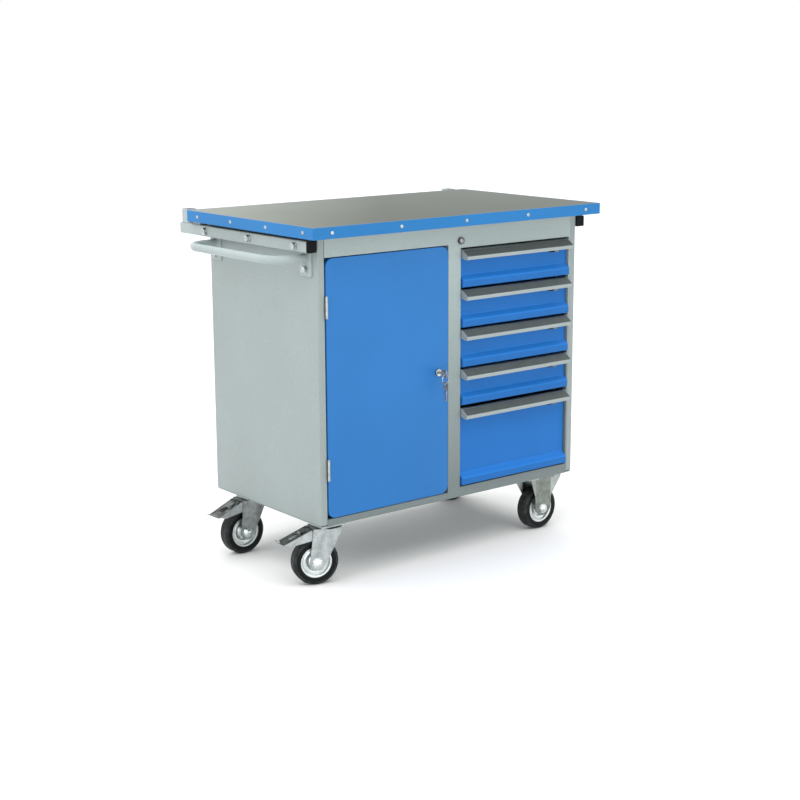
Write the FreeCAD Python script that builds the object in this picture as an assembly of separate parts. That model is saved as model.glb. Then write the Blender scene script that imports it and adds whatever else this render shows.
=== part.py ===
import FreeCAD, Part
import os
from math import cos, hypot, pi, radians, sin, sqrt, tan

# Tool cart: a cabinet on four casters with a door cupboard at the left, five drawers at the right,
# a steel-clad worktop, two side rails with rear uprights and a push handle on the left side.
# Millimetres, +Z up. Pieces are drawn from the cabinet's front lower left corner (X right, Y back)
# and saved about the floor point under the middle of the whole cart.

V = FreeCAD.Vector
os.makedirs("parts", exist_ok=True)

# ---------------------------------------------------------------- driving dimensions
cabinet_width = 905.0
cabinet_depth = 505.0
cabinet_height = 756.0
panel_sheet = 1.5
light_sheet = 1.2

worktop_height = 30.0
worktop_side_overhang = 47.5
worktop_front_overhang = 51.0
worktop_rear_overhang = 44.0

door_zone = 410.0  # from the left flange to the middle stile
stile_width = 44.0
flange_width = 21.0
fascia_height = 54.0
drawer_fascia_height = 65.0

shallow_drawers = 4
shallow_front_height = 104.0
drawer_travel = 400.0

rail_size = 30.0
rail_overrun = 102.0  # rails reach this far behind the cabinet
handle_reach = 98.0
handle_tube = 22.0
handle_rear_inset = 32.0  # rear handle plate's middle from the cabinet's back

wheel_diameter = 125.0
wheel_width = 37.0
caster_height = 162.0
base_drop = 4.0  # base pan's underside below the side panels
caster_trail = 38.0
front_left_turn = 18.0  # the front left caster stands turned by this angle, degrees
pedal_reach = 141.0  # brake pedal's tip from the swivel axis
left_caster_x = 42.0  # swivel axes from the cabinet's left edge
right_caster_inset = 97.0  # fixed wheels' middle from the cabinet's right edge
swivel_front_y = 31.0
swivel_rear_inset = 115.0
fixed_front_y = 43.0
fixed_rear_inset = 75.0

# ---------------------------------------------------------------- places that follow
opening_left = flange_width + door_zone + stile_width
right_stile = 4.0
opening_right = cabinet_width - flange_width - right_stile
opening_bottom = 24.0
opening_top = cabinet_height - drawer_fascia_height
door_top = cabinet_height - fascia_height
door_sill = 14.5
door_right = flange_width + door_zone
worktop_left = -worktop_side_overhang
worktop_right = cabinet_width + worktop_side_overhang
worktop_front = -worktop_front_overhang
worktop_back = cabinet_depth + worktop_rear_overhang
worktop_top = cabinet_height + worktop_height
cabinet_clearance = caster_height + base_drop  # side panels' lower edge above the floor
right_caster_x = cabinet_width - right_caster_inset
swivel_ys = (swivel_front_y, cabinet_depth - swivel_rear_inset)
fixed_ys = (fixed_front_y, cabinet_depth - fixed_rear_inset)
rivet_rise = 1.5
handle_radius = handle_tube / 2
rail_back = cabinet_depth + rail_overrun

cart_left = left_caster_x - pedal_reach
cart_right = worktop_right + rivet_rise
cart_front = worktop_front - rivet_rise
centre_x = (cart_left + cart_right) / 2
centre_y = (cart_front + rail_back) / 2
to_floor_centre = V(-centre_x, -centre_y, cabinet_clearance)


# ---------------------------------------------------------------- drawing helpers
def save(name, solids):
    """Write one node: solids that stay separate, moved to the floor frame."""
    pieces = []
    for solid in solids:
        pieces.extend(solid.Solids)
    for piece in pieces:
        assert piece.isValid(), name
    shape = pieces[0] if len(pieces) == 1 else Part.makeCompound(pieces)
    shape.translate(to_floor_centre)
    shape.exportStep("parts/" + name + ".step")


def block(x0, x1, y0, y1, z0, z1):
    return Part.makeBox(x1 - x0, y1 - y0, z1 - z0, V(x0, y0, z0))


def rod(start, along, radius, length):
    return Part.makeCylinder(radius, length, V(*start), V(*along))


def fuse(first, *others):
    return first.multiFuse(list(others)).removeSplitter()


def cut(shape, *tools):
    return shape.cut(Part.makeCompound(list(tools)))


def point(plane, u, v, w):
    """A point from outline coordinates (u, v) and the place w across the outline's plane."""
    return {"xy": V(u, v, w), "xz": V(u, w, v), "yz": V(w, u, v)}[plane]


def outline_face(points, radii, plane, w):
    """A flat face with straight sides and rounded corners."""
    count = len(points)
    ins, outs, mids = [], [], []
    for i, (px, py) in enumerate(points):
        ax, ay = points[i - 1]
        bx, by = points[(i + 1) % count]
        la, lb = hypot(ax - px, ay - py), hypot(bx - px, by - py)
        ua, ub = ((ax - px) / la, (ay - py) / la), ((bx - px) / lb, (by - py) / lb)
        cosine = ua[0] * ub[0] + ua[1] * ub[1]
        if radii[i] <= 0 or cosine < -0.9999:
            ins.append((px, py))
            outs.append((px, py))
            mids.append(None)
            continue
        half_tan = sqrt((1 - cosine) / (1 + cosine))
        run = radii[i] / half_tan
        reach = radii[i] * (sqrt(1 + 1 / half_tan**2) - 1)
        ins.append((px + ua[0] * run, py + ua[1] * run))
        outs.append((px + ub[0] * run, py + ub[1] * run))
        mx, my = ua[0] + ub[0], ua[1] + ub[1]
        length = hypot(mx, my)
        mids.append((px + mx / length * reach, py + my / length * reach))
    edges = []
    for i in range(count):
        if mids[i]:
            corner = [point(plane, *place, w) for place in (ins[i], mids[i], outs[i])]
            edges.append(Part.Arc(*corner).toShape())
        start = point(plane, *outs[i], w)
        end = point(plane, *ins[(i + 1) % count], w)
        if start.distanceToPoint(end) > 1e-6:
            edges.append(Part.makeLine(start, end))
    return Part.Face(Part.Wire(edges))


def profile(points, plane, w0, w1, radii=0.0):
    """Extrude an outline across its plane from w0 to w1."""
    if not isinstance(radii, (list, tuple)):
        radii = [radii] * len(points)
    face = outline_face(points, radii, plane, w0)
    return face.extrude(point(plane, 0, 0, w1 - w0))


def rectangle(u0, u1, v0, v1):
    return [(u0, v0), (u1, v0), (u1, v1), (u0, v1)]


def strip(points, sheet, bend, plane, w0, w1):
    """A bent sheet: the middle line given by points, inner bend radius bend."""
    left, right, left_radii, right_radii = [], [], [], []
    last = len(points) - 1
    for i, (px, py) in enumerate(points):
        normals = []
        for a, b in ((max(i - 1, 0), max(i, 1)), (min(i, last - 1), min(i + 1, last))):
            dx, dy = points[b][0] - points[a][0], points[b][1] - points[a][1]
            length = hypot(dx, dy)
            normals.append((-dy / length, dx / length))
        (n0x, n0y), (n1x, n1y) = normals
        scale = sheet / 2 / (1 + n0x * n1x + n0y * n1y)
        ox, oy = (n0x + n1x) * scale, (n0y + n1y) * scale
        left.append((px + ox, py + oy))
        right.append((px - ox, py - oy))
        turn = n0x * n1y - n0y * n1x
        inner, outer = bend, bend + sheet
        left_radii.append(0 if abs(turn) < 1e-6 else (inner if turn > 0 else outer))
        right_radii.append(0 if abs(turn) < 1e-6 else (outer if turn > 0 else inner))
    outline = left + right[::-1]
    return profile(outline, plane, w0, w1, left_radii + right_radii[::-1])


def revolve(points, centre, along, start):
    """Turn an outline of (radius, distance) pairs about a line through centre."""
    across = V(*start)
    axis = V(*along)
    corners = [V(*centre) + across * r + axis * d for r, d in points]
    face = Part.Face(Part.makePolygon(corners + corners[:1]))
    return face.revolve(V(*centre), axis, 360)


def hex_bolt(head_face, along, across_flats, head, washer_radius, washer, shank_radius, length):
    """Hex head with its washer; head_face is where the washer seats and along points to the shank."""
    seat, axis = V(*head_face), V(*along)
    side = V(0, 0, 1) if abs(axis.z) < 0.5 else V(1, 0, 0)
    other = axis.cross(side)
    radius = across_flats / sqrt(3)
    corners = [
        seat - axis * washer + side * (radius * cos(k * pi / 3)) + other * (radius * sin(k * pi / 3))
        for k in range(6)
    ]
    hexagon = Part.Face(Part.makePolygon(corners + corners[:1])).extrude(axis * -head)
    disc = Part.makeCylinder(washer_radius, washer, seat - axis * washer, axis)
    shank = Part.makeCylinder(shank_radius, length, seat, axis)
    return fuse(disc, shank, hexagon)


def dome(centre, along, radius, rise):
    """A low round head standing on a face."""
    ball = (radius**2 + rise**2) / (2 * rise)
    seat, axis = V(*centre), V(*along)
    sphere = Part.makeSphere(ball, seat + axis * (rise - ball))
    return sphere.common(Part.makeCylinder(radius, rise * 2, seat, axis))


def mirror_x(shape, x):
    return shape.mirror(V(x, 0, 0), V(1, 0, 0))


def turned(shape, x, y, angle):
    copy = shape.copy()
    copy.rotate(V(x, y, 0), V(0, 0, 1), angle)
    return copy


# ---------------------------------------------------------------- side bolts (needed by many holes)
bolt_across = 16.0
bolt_head = 6.4
bolt_washer_radius = 10.5
bolt_washer = 2.0
bolt_radius = 5.0
hole_play = 0.2
rail_bolt_front = 51.0
rail_bolt_rear_inset = 29.0
rail_bolt_offset = 9.5  # middle bolt behind the cabinet's middle
rail_bolt_rows = [rail_bolt_front, cabinet_depth / 2 + rail_bolt_offset, cabinet_depth - rail_bolt_rear_inset]
handle_plate = 4.0
rail_gap = handle_plate  # the rail stands off the side panel by the handle plate's thickness
rail_top = cabinet_height - 8.0
rail_bottom = rail_top - rail_size
rail_bolt_height = rail_bottom + rail_size / 2
handle_bolt_drop = 48.0  # below the rail's lower edge
handle_bolt_height = rail_bottom - handle_bolt_drop
handle_front = 48.0
handle_rear = cabinet_depth - handle_rear_inset
nut_across = 16.0
nut_height = 8.0


def side_holes(x0, x1, rows):
    """Cutters for the side bolts' shanks between x0 and x1."""
    return [rod((x0, y, z), (1, 0, 0), bolt_radius + hole_play, x1 - x0) for y, z in rows]


rail_rows = [(y, rail_bolt_height) for y in rail_bolt_rows]
handle_rows = [(handle_front, handle_bolt_height), (handle_rear, handle_bolt_height)]


# ---------------------------------------------------------------- cabinet shell
side_fold = 1.6  # inner radius of the side panels' folds
side_return = 16.0


def side_panel():
    """Left side panel: a web with a rolled front flange and its return."""
    half = panel_sheet / 2
    chamfer = 2.0
    path = [
        (flange_width - half, side_return),
        (flange_width - half, half),
        (half, half),
        (half, cabinet_depth),
    ]
    panel = strip(path, panel_sheet, side_fold, "xy", 0, cabinet_height)
    nicks = [
        profile([(y, 0), (y + way * chamfer, 0), (y, chamfer)], "yz", -1, flange_width + 1)
        for y, way in ((0, 1), (cabinet_depth, -1))
    ]
    return cut(panel, *nicks)


def make_side_panels():
    left = cut(side_panel(), *side_holes(-1, flange_width, rail_rows + handle_rows))
    right = mirror_x(cut(side_panel(), *side_holes(-1, flange_width, rail_rows)), cabinet_width / 2)
    save("side_panel_left", [left])
    save("side_panel_right", [right])


def corner_reliefs(z0, z1):
    """Cutters that clear the side panels' front flanges from the pans between them."""
    play = 0.2
    corner = block(-1, flange_width + play, -1, side_return + play, z0, z1)
    return [corner, mirror_x(corner, cabinet_width / 2)]


pan_wall = 10.0
back_sheet = light_sheet
back_flange = 10.0
back_face = cabinet_depth - back_flange  # back panel's inner face
partition_right = opening_left - panel_sheet
partition_left = partition_right - light_sheet
lock_slot = [12.5, 23.5]  # depth range of the lock bar's slots
hook_height = 10.0
hook_lift = 12.0
hook_below_top = 44.0


def drawer_levels():
    """(top, bottom) of every drawer front, from the uppermost down."""
    top_gap = 3.5
    gap = 6.0
    wide_gap = 9.5  # above the deep drawer
    foot_gap = 4.5
    pitch = shallow_front_height + gap
    levels = []
    top = opening_top - top_gap
    for _ in range(shallow_drawers):
        levels.append((top, top - shallow_front_height))
        top -= pitch
    last_top, last_low = levels[-1]
    levels[-1] = (last_top, last_low + wide_gap - gap)
    levels.append((top, opening_bottom + foot_gap))
    return levels


def hook_slots():
    """Cutters for the slots through which the lock bar's hooks reach the drawers."""
    play = 2.0
    return [
        block(
            partition_left - 1,
            opening_left + 1,
            lock_slot[0],
            lock_slot[1],
            top - hook_below_top - play,
            top - hook_below_top + hook_height + hook_lift + play,
        )
        for top, _ in drawer_levels()
    ]


def make_back_panel():
    """A tray between the side panels, its walls turned to the back, with upright ribs."""
    ribs = 3
    rib_depth = 4.0
    rib_width = 30.0
    pitch = cabinet_width / (ribs + 1)
    tray_top = cabinet_height - panel_sheet
    outer = block(panel_sheet, cabinet_width - panel_sheet, back_face, cabinet_depth, -base_drop, tray_top)
    inner = block(
        panel_sheet + back_sheet,
        cabinet_width - panel_sheet - back_sheet,
        back_face + back_sheet,
        cabinet_depth + 1,
        back_sheet - base_drop,
        tray_top - back_sheet,
    )
    panel = cut(outer, inner)
    groove = [(-rib_width / 2, 0), (rib_width / 2, 0), (rib_width / 4, rib_depth), (-rib_width / 4, rib_depth)]
    low, high = 60.0, cabinet_height - 60.0
    for i in range(ribs):
        x = pitch * (i + 1)
        face = back_face + back_sheet
        outside = profile([(x + u, face + v) for u, v in groove], "xy", low, high)
        slope = rib_width / 4 / rib_depth
        inside = profile(
            [
                (x - rib_width / 2 + back_sheet * slope, back_face),
                (x + rib_width / 2 - back_sheet * slope, back_face),
                (x + rib_width / 4 - back_sheet / 2, face + rib_depth - back_sheet),
                (x - rib_width / 4 + back_sheet / 2, face + rib_depth - back_sheet),
            ],
            "xy",
            low + back_sheet,
            high - back_sheet,
        )
        panel = cut(fuse(panel, outside), inside)
    save("back_panel", [panel])


def make_base_panel():
    """A pan: floor sheet with upturned walls, holed for the caster bolts."""
    outer = block(
        panel_sheet, cabinet_width - panel_sheet, panel_sheet, back_face, -base_drop, pan_wall - base_drop
    )
    inner = block(
        2 * panel_sheet,
        cabinet_width - 2 * panel_sheet,
        2 * panel_sheet,
        back_face - panel_sheet,
        panel_sheet - base_drop,
        pan_wall,
    )
    holes = [
        rod((x, y, -base_drop - 1), (0, 0, 1), caster_bolt_radius + hole_play, panel_sheet + 2)
        for x, y in caster_bolt_places()
    ]
    save("base_panel", [cut(outer, inner, *holes, *corner_reliefs(-side_fold, pan_wall))])


top_wall = 18.0


def make_top_panel():
    depth = top_wall
    outer = block(
        panel_sheet, cabinet_width - panel_sheet, panel_sheet, cabinet_depth, cabinet_height - depth, cabinet_height
    )
    inner = block(
        2 * panel_sheet,
        cabinet_width - 2 * panel_sheet,
        2 * panel_sheet,
        back_face - panel_sheet,
        cabinet_height - depth - 1,
        cabinet_height - panel_sheet,
    )
    back_step = block(
        0, cabinet_width, back_face, cabinet_depth + 1, cabinet_height - depth - 1, cabinet_height - panel_sheet
    )
    rail_nuts = [
        rod((x, y, rail_bolt_height), (1, 0, 0), nut_across / 2 + 3, nut_height + 4)
        for x in (-1, cabinet_width - nut_height - 3)
        for y in rail_bolt_rows
    ]
    reliefs = corner_reliefs(cabinet_height - depth - 1, cabinet_height + 1)
    save("top_panel", [cut(outer, inner, back_step, *rail_nuts, *reliefs)])


def make_front_frame():
    """Fascia, middle stile, bottom rail and right stile in one sheet, with returns round the openings."""
    sheet = panel_sheet
    lip = 12.0
    stile_lip = 25.0
    right_edge = cabinet_width - flange_width
    face = block(flange_width, right_edge, 0, sheet, -base_drop, cabinet_height)
    door_hole = block(flange_width - 1, door_right, -1, sheet + 1, door_sill, door_top)
    drawer_hole = block(opening_left, opening_right, -1, sheet + 1, opening_bottom, opening_top)
    returns = [
        block(flange_width, door_right + sheet, 0, lip, door_top, door_top + sheet),
        block(door_right, door_right + sheet, 0, stile_lip, door_sill - sheet, door_top + sheet),
        block(flange_width, door_right + sheet, 0, lip, door_sill - sheet, door_sill),
        block(opening_left - sheet, opening_right + sheet, 0, lip, opening_top, opening_top + sheet),
        block(opening_left - sheet, opening_left, 0, stile_lip, opening_bottom - sheet, opening_top + sheet),
        block(opening_right, opening_right + sheet, 0, lip, opening_bottom - sheet, opening_top + sheet),
        block(opening_left - sheet, opening_right + sheet, 0, lip, opening_bottom - sheet, opening_bottom),
    ]
    frame = fuse(cut(face, door_hole, drawer_hole), *returns)
    lock_hole = rod((lock_x, -1, top_lock_height), (0, 1, 0), lock_body_radius + hole_play, sheet + 2)
    frame = cut(frame, lock_hole, *hook_slots())
    fold_radius = 1.2
    inside = [
        (door_right, door_sill, door_top),
        (opening_left, opening_bottom, opening_top),
        (opening_right, opening_bottom, opening_top),
    ]
    folds = []
    for edge in frame.Edges:
        box = edge.BoundBox
        if abs(box.YMin) > 1e-6 or abs(box.YMax) > 1e-6:
            continue
        upright = any(
            abs(box.XMin - x) < 1e-6 and abs(box.XMax - x) < 1e-6 and box.ZLength > high - low - 1
            for x, low, high in inside
        )
        level = box.ZLength < 1e-6 and any(
            abs(box.ZMin - z) < 1e-6 for z in (door_sill, door_top, opening_bottom, opening_top)
        )
        if upright or level:
            folds.append(edge)
    save("front_frame", [frame.makeFillet(fold_radius, folds)])


def make_partition():
    notch_front, notch_back = 0.0, 34.0
    panel = block(
        partition_left,
        partition_right,
        stile_clear_front,
        back_face,
        panel_sheet - base_drop,
        cabinet_height - panel_sheet,
    )
    notches = [
        block(partition_left - 1, partition_right + 1, notch_front, notch_back, opening_top + 4, cabinet_height),
        block(partition_left - 1, partition_right + 1, 0, 2 * panel_sheet + 1, -base_drop, pan_wall),
        block(
            partition_left - 1,
            partition_right + 1,
            back_face - panel_sheet,
            back_face + 1,
            cabinet_height - top_wall,
            cabinet_height,
        ),
        block(
            partition_left - 1,
            partition_right + 1,
            back_face - panel_sheet,
            back_face + 1,
            -base_drop,
            pan_wall - base_drop,
        ),
    ]
    save("partition_panel", [fuse(cut(panel, *notches, *hook_slots()), *bar_guides())])


stile_clear_front = 12.0
shelf_drop = 356.0  # shelf's face below the cabinet's top
shelf_height = cabinet_height - shelf_drop


def make_shelf():
    """Cupboard shelf: a downturned pan resting on four clips."""
    depth = 24.0
    sheet = light_sheet
    side_play = 1.5
    front, back = 46.0, back_face - 2.0
    left, right = panel_sheet + side_play, partition_left - side_play
    outer = block(left, right, front, back, shelf_height - depth, shelf_height)
    inner = block(
        left + sheet, right - sheet, front + sheet, back - sheet, shelf_height - depth - 1, shelf_height - sheet
    )
    lip_depth = 14.0
    lip = block(
        left + sheet, right - sheet, front + sheet, front + lip_depth,
        shelf_height - depth, shelf_height - depth + sheet,
    )
    shelf = fuse(cut(outer, inner), lip)
    clip_width, clip_tall, clip_out = 20.0, 18.0, 12.0
    clips = []
    bottom = shelf_height - depth
    for y in (front + 40, back - 60):
        angle = [
            (panel_sheet, bottom - clip_tall),
            (panel_sheet + sheet, bottom - clip_tall),
            (panel_sheet + sheet, bottom - sheet),
            (panel_sheet + clip_out, bottom - sheet),
            (panel_sheet + clip_out, bottom),
            (panel_sheet, bottom),
        ]
        clip = profile(angle, "xz", y, y + clip_width)
        clips += [clip, mirror_x(clip, (panel_sheet + partition_left) / 2)]
    save("shelf", [shelf] + clips)


# ---------------------------------------------------------------- worktop
band_sheet = 2.0
top_sheet = 1.5
rivet_radius = 5.0
rivet_shank = 2.0
rivet_height = cabinet_height + worktop_height / 2


def rivet_places():
    """(x, y, outward direction) of each edge rivet: sides, front and back."""
    places = []
    side_count = 4
    front_inset = 47.0
    back_inset = 55.0
    side_pitch = (worktop_back - worktop_front - front_inset - back_inset) / (side_count - 1)
    for i in range(side_count):
        y = worktop_front + front_inset + i * side_pitch
        places += [(worktop_left, y, (-1, 0, 0)), (worktop_right, y, (1, 0, 0))]
    long_count = 5
    end_inset = 58.0
    long_pitch = (worktop_right - worktop_left - 2 * end_inset) / (long_count - 1)
    for i in range(long_count):
        x = worktop_left + end_inset + i * long_pitch
        places += [(x, worktop_front, (0, -1, 0)), (x, worktop_back, (0, 1, 0))]
    return places


def rivet_head(seat, out):
    """Low round head drawn with straight sides."""
    side = (0, 0, 1)
    outline = [
        (0, 0),
        (rivet_radius, 0),
        (0.92 * rivet_radius, 0.5 * rivet_rise),
        (0.6 * rivet_radius, rivet_rise),
        (0, rivet_rise),
    ]
    return revolve(outline, seat, out, side)


def make_worktop():
    corner = 4.0
    area = rectangle(worktop_left, worktop_right, worktop_front, worktop_back)
    inside = rectangle(
        worktop_left + band_sheet, worktop_right - band_sheet, worktop_front + band_sheet, worktop_back - band_sheet
    )
    band = profile(area, "xy", cabinet_height, worktop_top, corner)
    hollow = profile(inside, "xy", cabinet_height, worktop_top, corner - band_sheet)
    core = profile(inside, "xy", cabinet_height, worktop_top - top_sheet, corner - band_sheet)
    sheet = profile(inside, "xy", worktop_top - top_sheet, worktop_top, corner - band_sheet)
    shank_length = 14.0
    holes, rivets = [], []
    for x, y, out in rivet_places():
        inward = tuple(-part for part in out)
        start = (x, y, rivet_height)
        holes.append(rod(start, inward, rivet_shank, shank_length))
        rivets.append(fuse(rivet_head(start, out), holes[-1]))
    save("worktop_band", [cut(band, hollow, *holes)])
    save("worktop_core", [cut(core, *holes)])
    save("worktop_sheet", [sheet])
    save("band_rivets", rivets)


# ---------------------------------------------------------------- side rails and uprights
def square_tube(u0, u1, v0, v1, wall, radius, plane, w0, w1):
    outer = profile(rectangle(u0, u1, v0, v1), plane, w0, w1, radius)
    inner = profile(rectangle(u0 + wall, u1 - wall, v0 + wall, v1 - wall), plane, w0, w1, radius - wall / 2)
    return outer.cut(inner)


upright_depth = 34.0
upright_inset = 10.0  # from the rail's rear end
upright_back = rail_back - upright_inset
upright_front = upright_back - upright_depth
tube_wall = 2.0
tube_corner = 3.5


def make_side_rails():
    """Rails along both sides, each with its welded upright and the spacer under the worktop."""
    spacer_depth = 38.0
    cap_face, plug_depth, plug_gap = 4.0, 16.0, 0.1
    spacer_back = worktop_back - 4.0
    rails, caps = [], []
    for gap, right in ((rail_gap, False), (0.0, True)):
        outer, inner = -gap - rail_size, -gap
        rail = square_tube(outer, inner, rail_bottom, rail_top, tube_wall, tube_corner, "xz", 0, rail_back)
        rail = cut(rail, *side_holes(outer - 1, inner + 1, rail_rows))
        upright = square_tube(
            outer, inner, upright_front, upright_back, tube_wall, tube_corner, "xy", rail_top, worktop_top
        )
        spacer = block(outer + 4, inner - 4, spacer_back - spacer_depth, spacer_back, rail_top, cabinet_height)
        face = profile(rectangle(outer, inner, rail_bottom, rail_top), "xz", -cap_face, 0, tube_corner)
        reach = tube_wall + plug_gap
        plug = profile(
            rectangle(outer + reach, inner - reach, rail_bottom + reach, rail_top - reach),
            "xz", 0, plug_depth, tube_corner - tube_wall / 2,
        )
        cap = fuse(face, plug)
        cap = cap.makeFillet(1.5, [e for e in cap.Edges if abs(e.BoundBox.YMax + cap_face) < 1e-6])
        solids = [rail, upright, spacer, cap]
        if right:
            solids = [mirror_x(solid, cabinet_width / 2) for solid in solids]
        rails += solids[:3]
        caps.append(solids[3])
    save("side_rails", rails)
    save("rail_caps", caps)


def side_nut(x, y, z):
    """A hex nut inside the cabinet, its seat at x and its body towards +X."""
    radius = nut_across / sqrt(3)
    corners = [V(x, y + radius * cos(k * pi / 3), z + radius * sin(k * pi / 3)) for k in range(6)]
    body = Part.Face(Part.makePolygon(corners + corners[:1])).extrude(V(nut_height, 0, 0))
    return body.cut(Part.makeCylinder(bolt_radius, nut_height, V(x, y, z), V(1, 0, 0)))


def side_bolts():
    middle = cabinet_width / 2
    solids = []
    for y, z in rail_rows:
        nut = side_nut(panel_sheet, y, z)
        solids += [nut, mirror_x(nut, middle)]
        for gap, right in ((rail_gap, False), (0.0, True)):
            length = gap + rail_size + panel_sheet + nut_height + 3
            bolt = hex_bolt(
                (-gap - rail_size, y, z), (1, 0, 0), bolt_across, bolt_head,
                bolt_washer_radius, bolt_washer, bolt_radius, length,
            )
            solids.append(mirror_x(bolt, middle) if right else bolt)
    ring = rod((-rail_gap, rail_bolt_rows[1], rail_bolt_height), (1, 0, 0), bolt_washer_radius, rail_gap)
    solids.append(cut(ring, *side_holes(-rail_gap - 1, 1, rail_rows)))
    for y, z in handle_rows:
        length = handle_plate + panel_sheet + nut_height + 3
        bolt = hex_bolt(
            (-handle_plate, y, z), (1, 0, 0), bolt_across, bolt_head,
            bolt_washer_radius, bolt_washer, bolt_radius, length,
        )
        solids += [bolt, side_nut(panel_sheet, y, z)]
    return solids


# ---------------------------------------------------------------- push handle
handle_drop = 19.0  # tube's middle below the rail's lower edge
handle_height = rail_bottom - handle_drop
handle_bend = 60.0
handle_tube_wall = 2.0


def make_push_handle():
    """Tube bent twice, its ends welded to plates that the side bolts hold."""
    plate_width = 52.0
    plate_below_bolt = 17.0
    plate_low = handle_bolt_height - plate_below_bolt
    plate_high = rail_top
    x_out, x_in = -handle_reach, -handle_plate
    y0, y1, z = handle_front, handle_rear, handle_height
    bend = handle_bend
    slant = bend * (1 - cos(radians(45)))
    edges = [
        Part.makeLine(V(x_in, y0, z), V(x_out + bend, y0, z)),
        Part.Arc(
            V(x_out + bend, y0, z), V(x_out + slant, y0 + slant, z), V(x_out, y0 + bend, z)
        ).toShape(),
        Part.makeLine(V(x_out, y0 + bend, z), V(x_out, y1 - bend, z)),
        Part.Arc(
            V(x_out, y1 - bend, z), V(x_out + slant, y1 - slant, z), V(x_out + bend, y1, z)
        ).toShape(),
        Part.makeLine(V(x_out + bend, y1, z), V(x_in, y1, z)),
    ]
    path = Part.Wire(edges)
    ring = Part.Wire(Part.makeCircle(handle_radius, V(x_in, y0, z), V(-1, 0, 0)))
    bore = Part.Wire(Part.makeCircle(handle_radius - handle_tube_wall, V(x_in, y0, z), V(-1, 0, 0)))
    tube = path.makePipeShell([ring], True, False).cut(path.makePipeShell([bore], True, False))
    plates = []
    for y in (y0, y1):
        area = rectangle(y - plate_width / 2, y + plate_width / 2, plate_low, plate_high)
        plate = profile(area, "yz", -handle_plate, 0, 5.0)
        plates.append(cut(plate, *side_holes(-handle_plate - 1, 1, rail_rows + handle_rows)))
    save("push_handle", [tube] + plates)


# ---------------------------------------------------------------- drawer runners
runner_wall = 1.5
runner_height = 24.0
runner_flange = 10.0
runner_front = 30.0
runner_back_inset = 25.0
runner_back = cabinet_depth - runner_back_inset
runner_rise = 25.0  # above the drawer front's lower edge
box_side_gap = 13.0  # from the opening's edge to the drawer box
box_left = opening_left + box_side_gap
box_right = opening_right - box_side_gap
slide_play = 0.5
drawer_middle = (opening_left + opening_right) / 2


def make_runner_rails():
    """Channel rails on the partition and, at the right, on two posts that stand off the side panel."""
    solids = []
    for _, low in drawer_levels():
        z = low + runner_rise
        web = partition_right + runner_wall / 2
        path = [
            (web + runner_flange, z + runner_wall / 2),
            (web, z + runner_wall / 2),
            (web, z + runner_height - runner_wall / 2),
            (web + runner_flange, z + runner_height - runner_wall / 2),
        ]
        rail = strip(path, runner_wall, 0.8, "xz", runner_front, runner_back)
        stop = block(
            partition_right + runner_wall, box_left - 4, runner_back - 3, runner_back,
            z + runner_wall, z + runner_height - runner_wall,
        )
        rail = fuse(rail, stop)
        solids += [rail, mirror_x(rail, drawer_middle)]
    post_inner = 2 * drawer_middle - partition_right
    post_outer = cabinet_width - panel_sheet
    post_width = 26.0
    for y in (runner_front + 20, runner_back - 20 - post_width):
        path = [
            (post_outer, y + runner_wall / 2),
            (post_inner + runner_wall / 2, y + runner_wall / 2),
            (post_inner + runner_wall / 2, y + post_width - runner_wall / 2),
            (post_outer, y + post_width - runner_wall / 2),
        ]
        top = opening_top - 10.0
        solids.append(strip(path, runner_wall, 1.0, "xy", pan_wall - base_drop, top))
    save("runner_rails", solids)


# ---------------------------------------------------------------- drawers
front_side_gap = 3.0
front_left = opening_left + front_side_gap
front_right = opening_right - front_side_gap
front_face = 8.5  # the flat of a drawer front stands behind the frame's face
flare_face = -6.0  # and its lower edge in front of it
front_back = 12.5
front_sheet = 1.2
box_front = front_face + front_sheet
box_back_inset = 33.0
box_back = cabinet_depth - box_back_inset
front_top_drop = 5.0  # a front's upper edge below its grip's
box_wall = 1.0


def make_drawer_front(number, grip_top, low):
    """A pan: flat face, S-shaped flare above the lower edge, folded top, bottom and cheeks."""
    top = grip_top - front_top_drop
    flare_start = low + 32.0
    flare_end = low + 20.0
    half = front_sheet / 2
    bend = 7.0
    outer = [
        (front_back, top),
        (front_face, top),
        (front_face, flare_start),
        (flare_face, flare_end),
        (flare_face, low),
        (front_back, low),
    ]
    body = profile(outer, "yz", front_left, front_right, [0, 1.5, bend, bend, 2.0, 0])
    inner = [
        (front_back + 1, top - front_sheet),
        (front_face + front_sheet, top - front_sheet),
        (front_face + front_sheet, flare_start + half),
        (flare_face + front_sheet, flare_end + half),
        (flare_face + front_sheet, low + front_sheet),
        (front_back + 1, low + front_sheet),
    ]
    hollow = profile(
        inner, "yz", front_left + front_sheet, front_right - front_sheet,
        [0, 0.5, bend - front_sheet, bend + front_sheet, 1.0, 0],
    )
    save("drawer_front_%d" % number, [body.cut(hollow)])


grip_depth = 32.0
grip_land = 8.0  # gently falling strip along the top
grip_land_fall = 2.5
grip_slope = 19.5  # whole fall from the top to the lip
grip_lip = 8.0
grip_wall = 2.0
grip_back_height = 23.0
cap_width = 3.0


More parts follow.
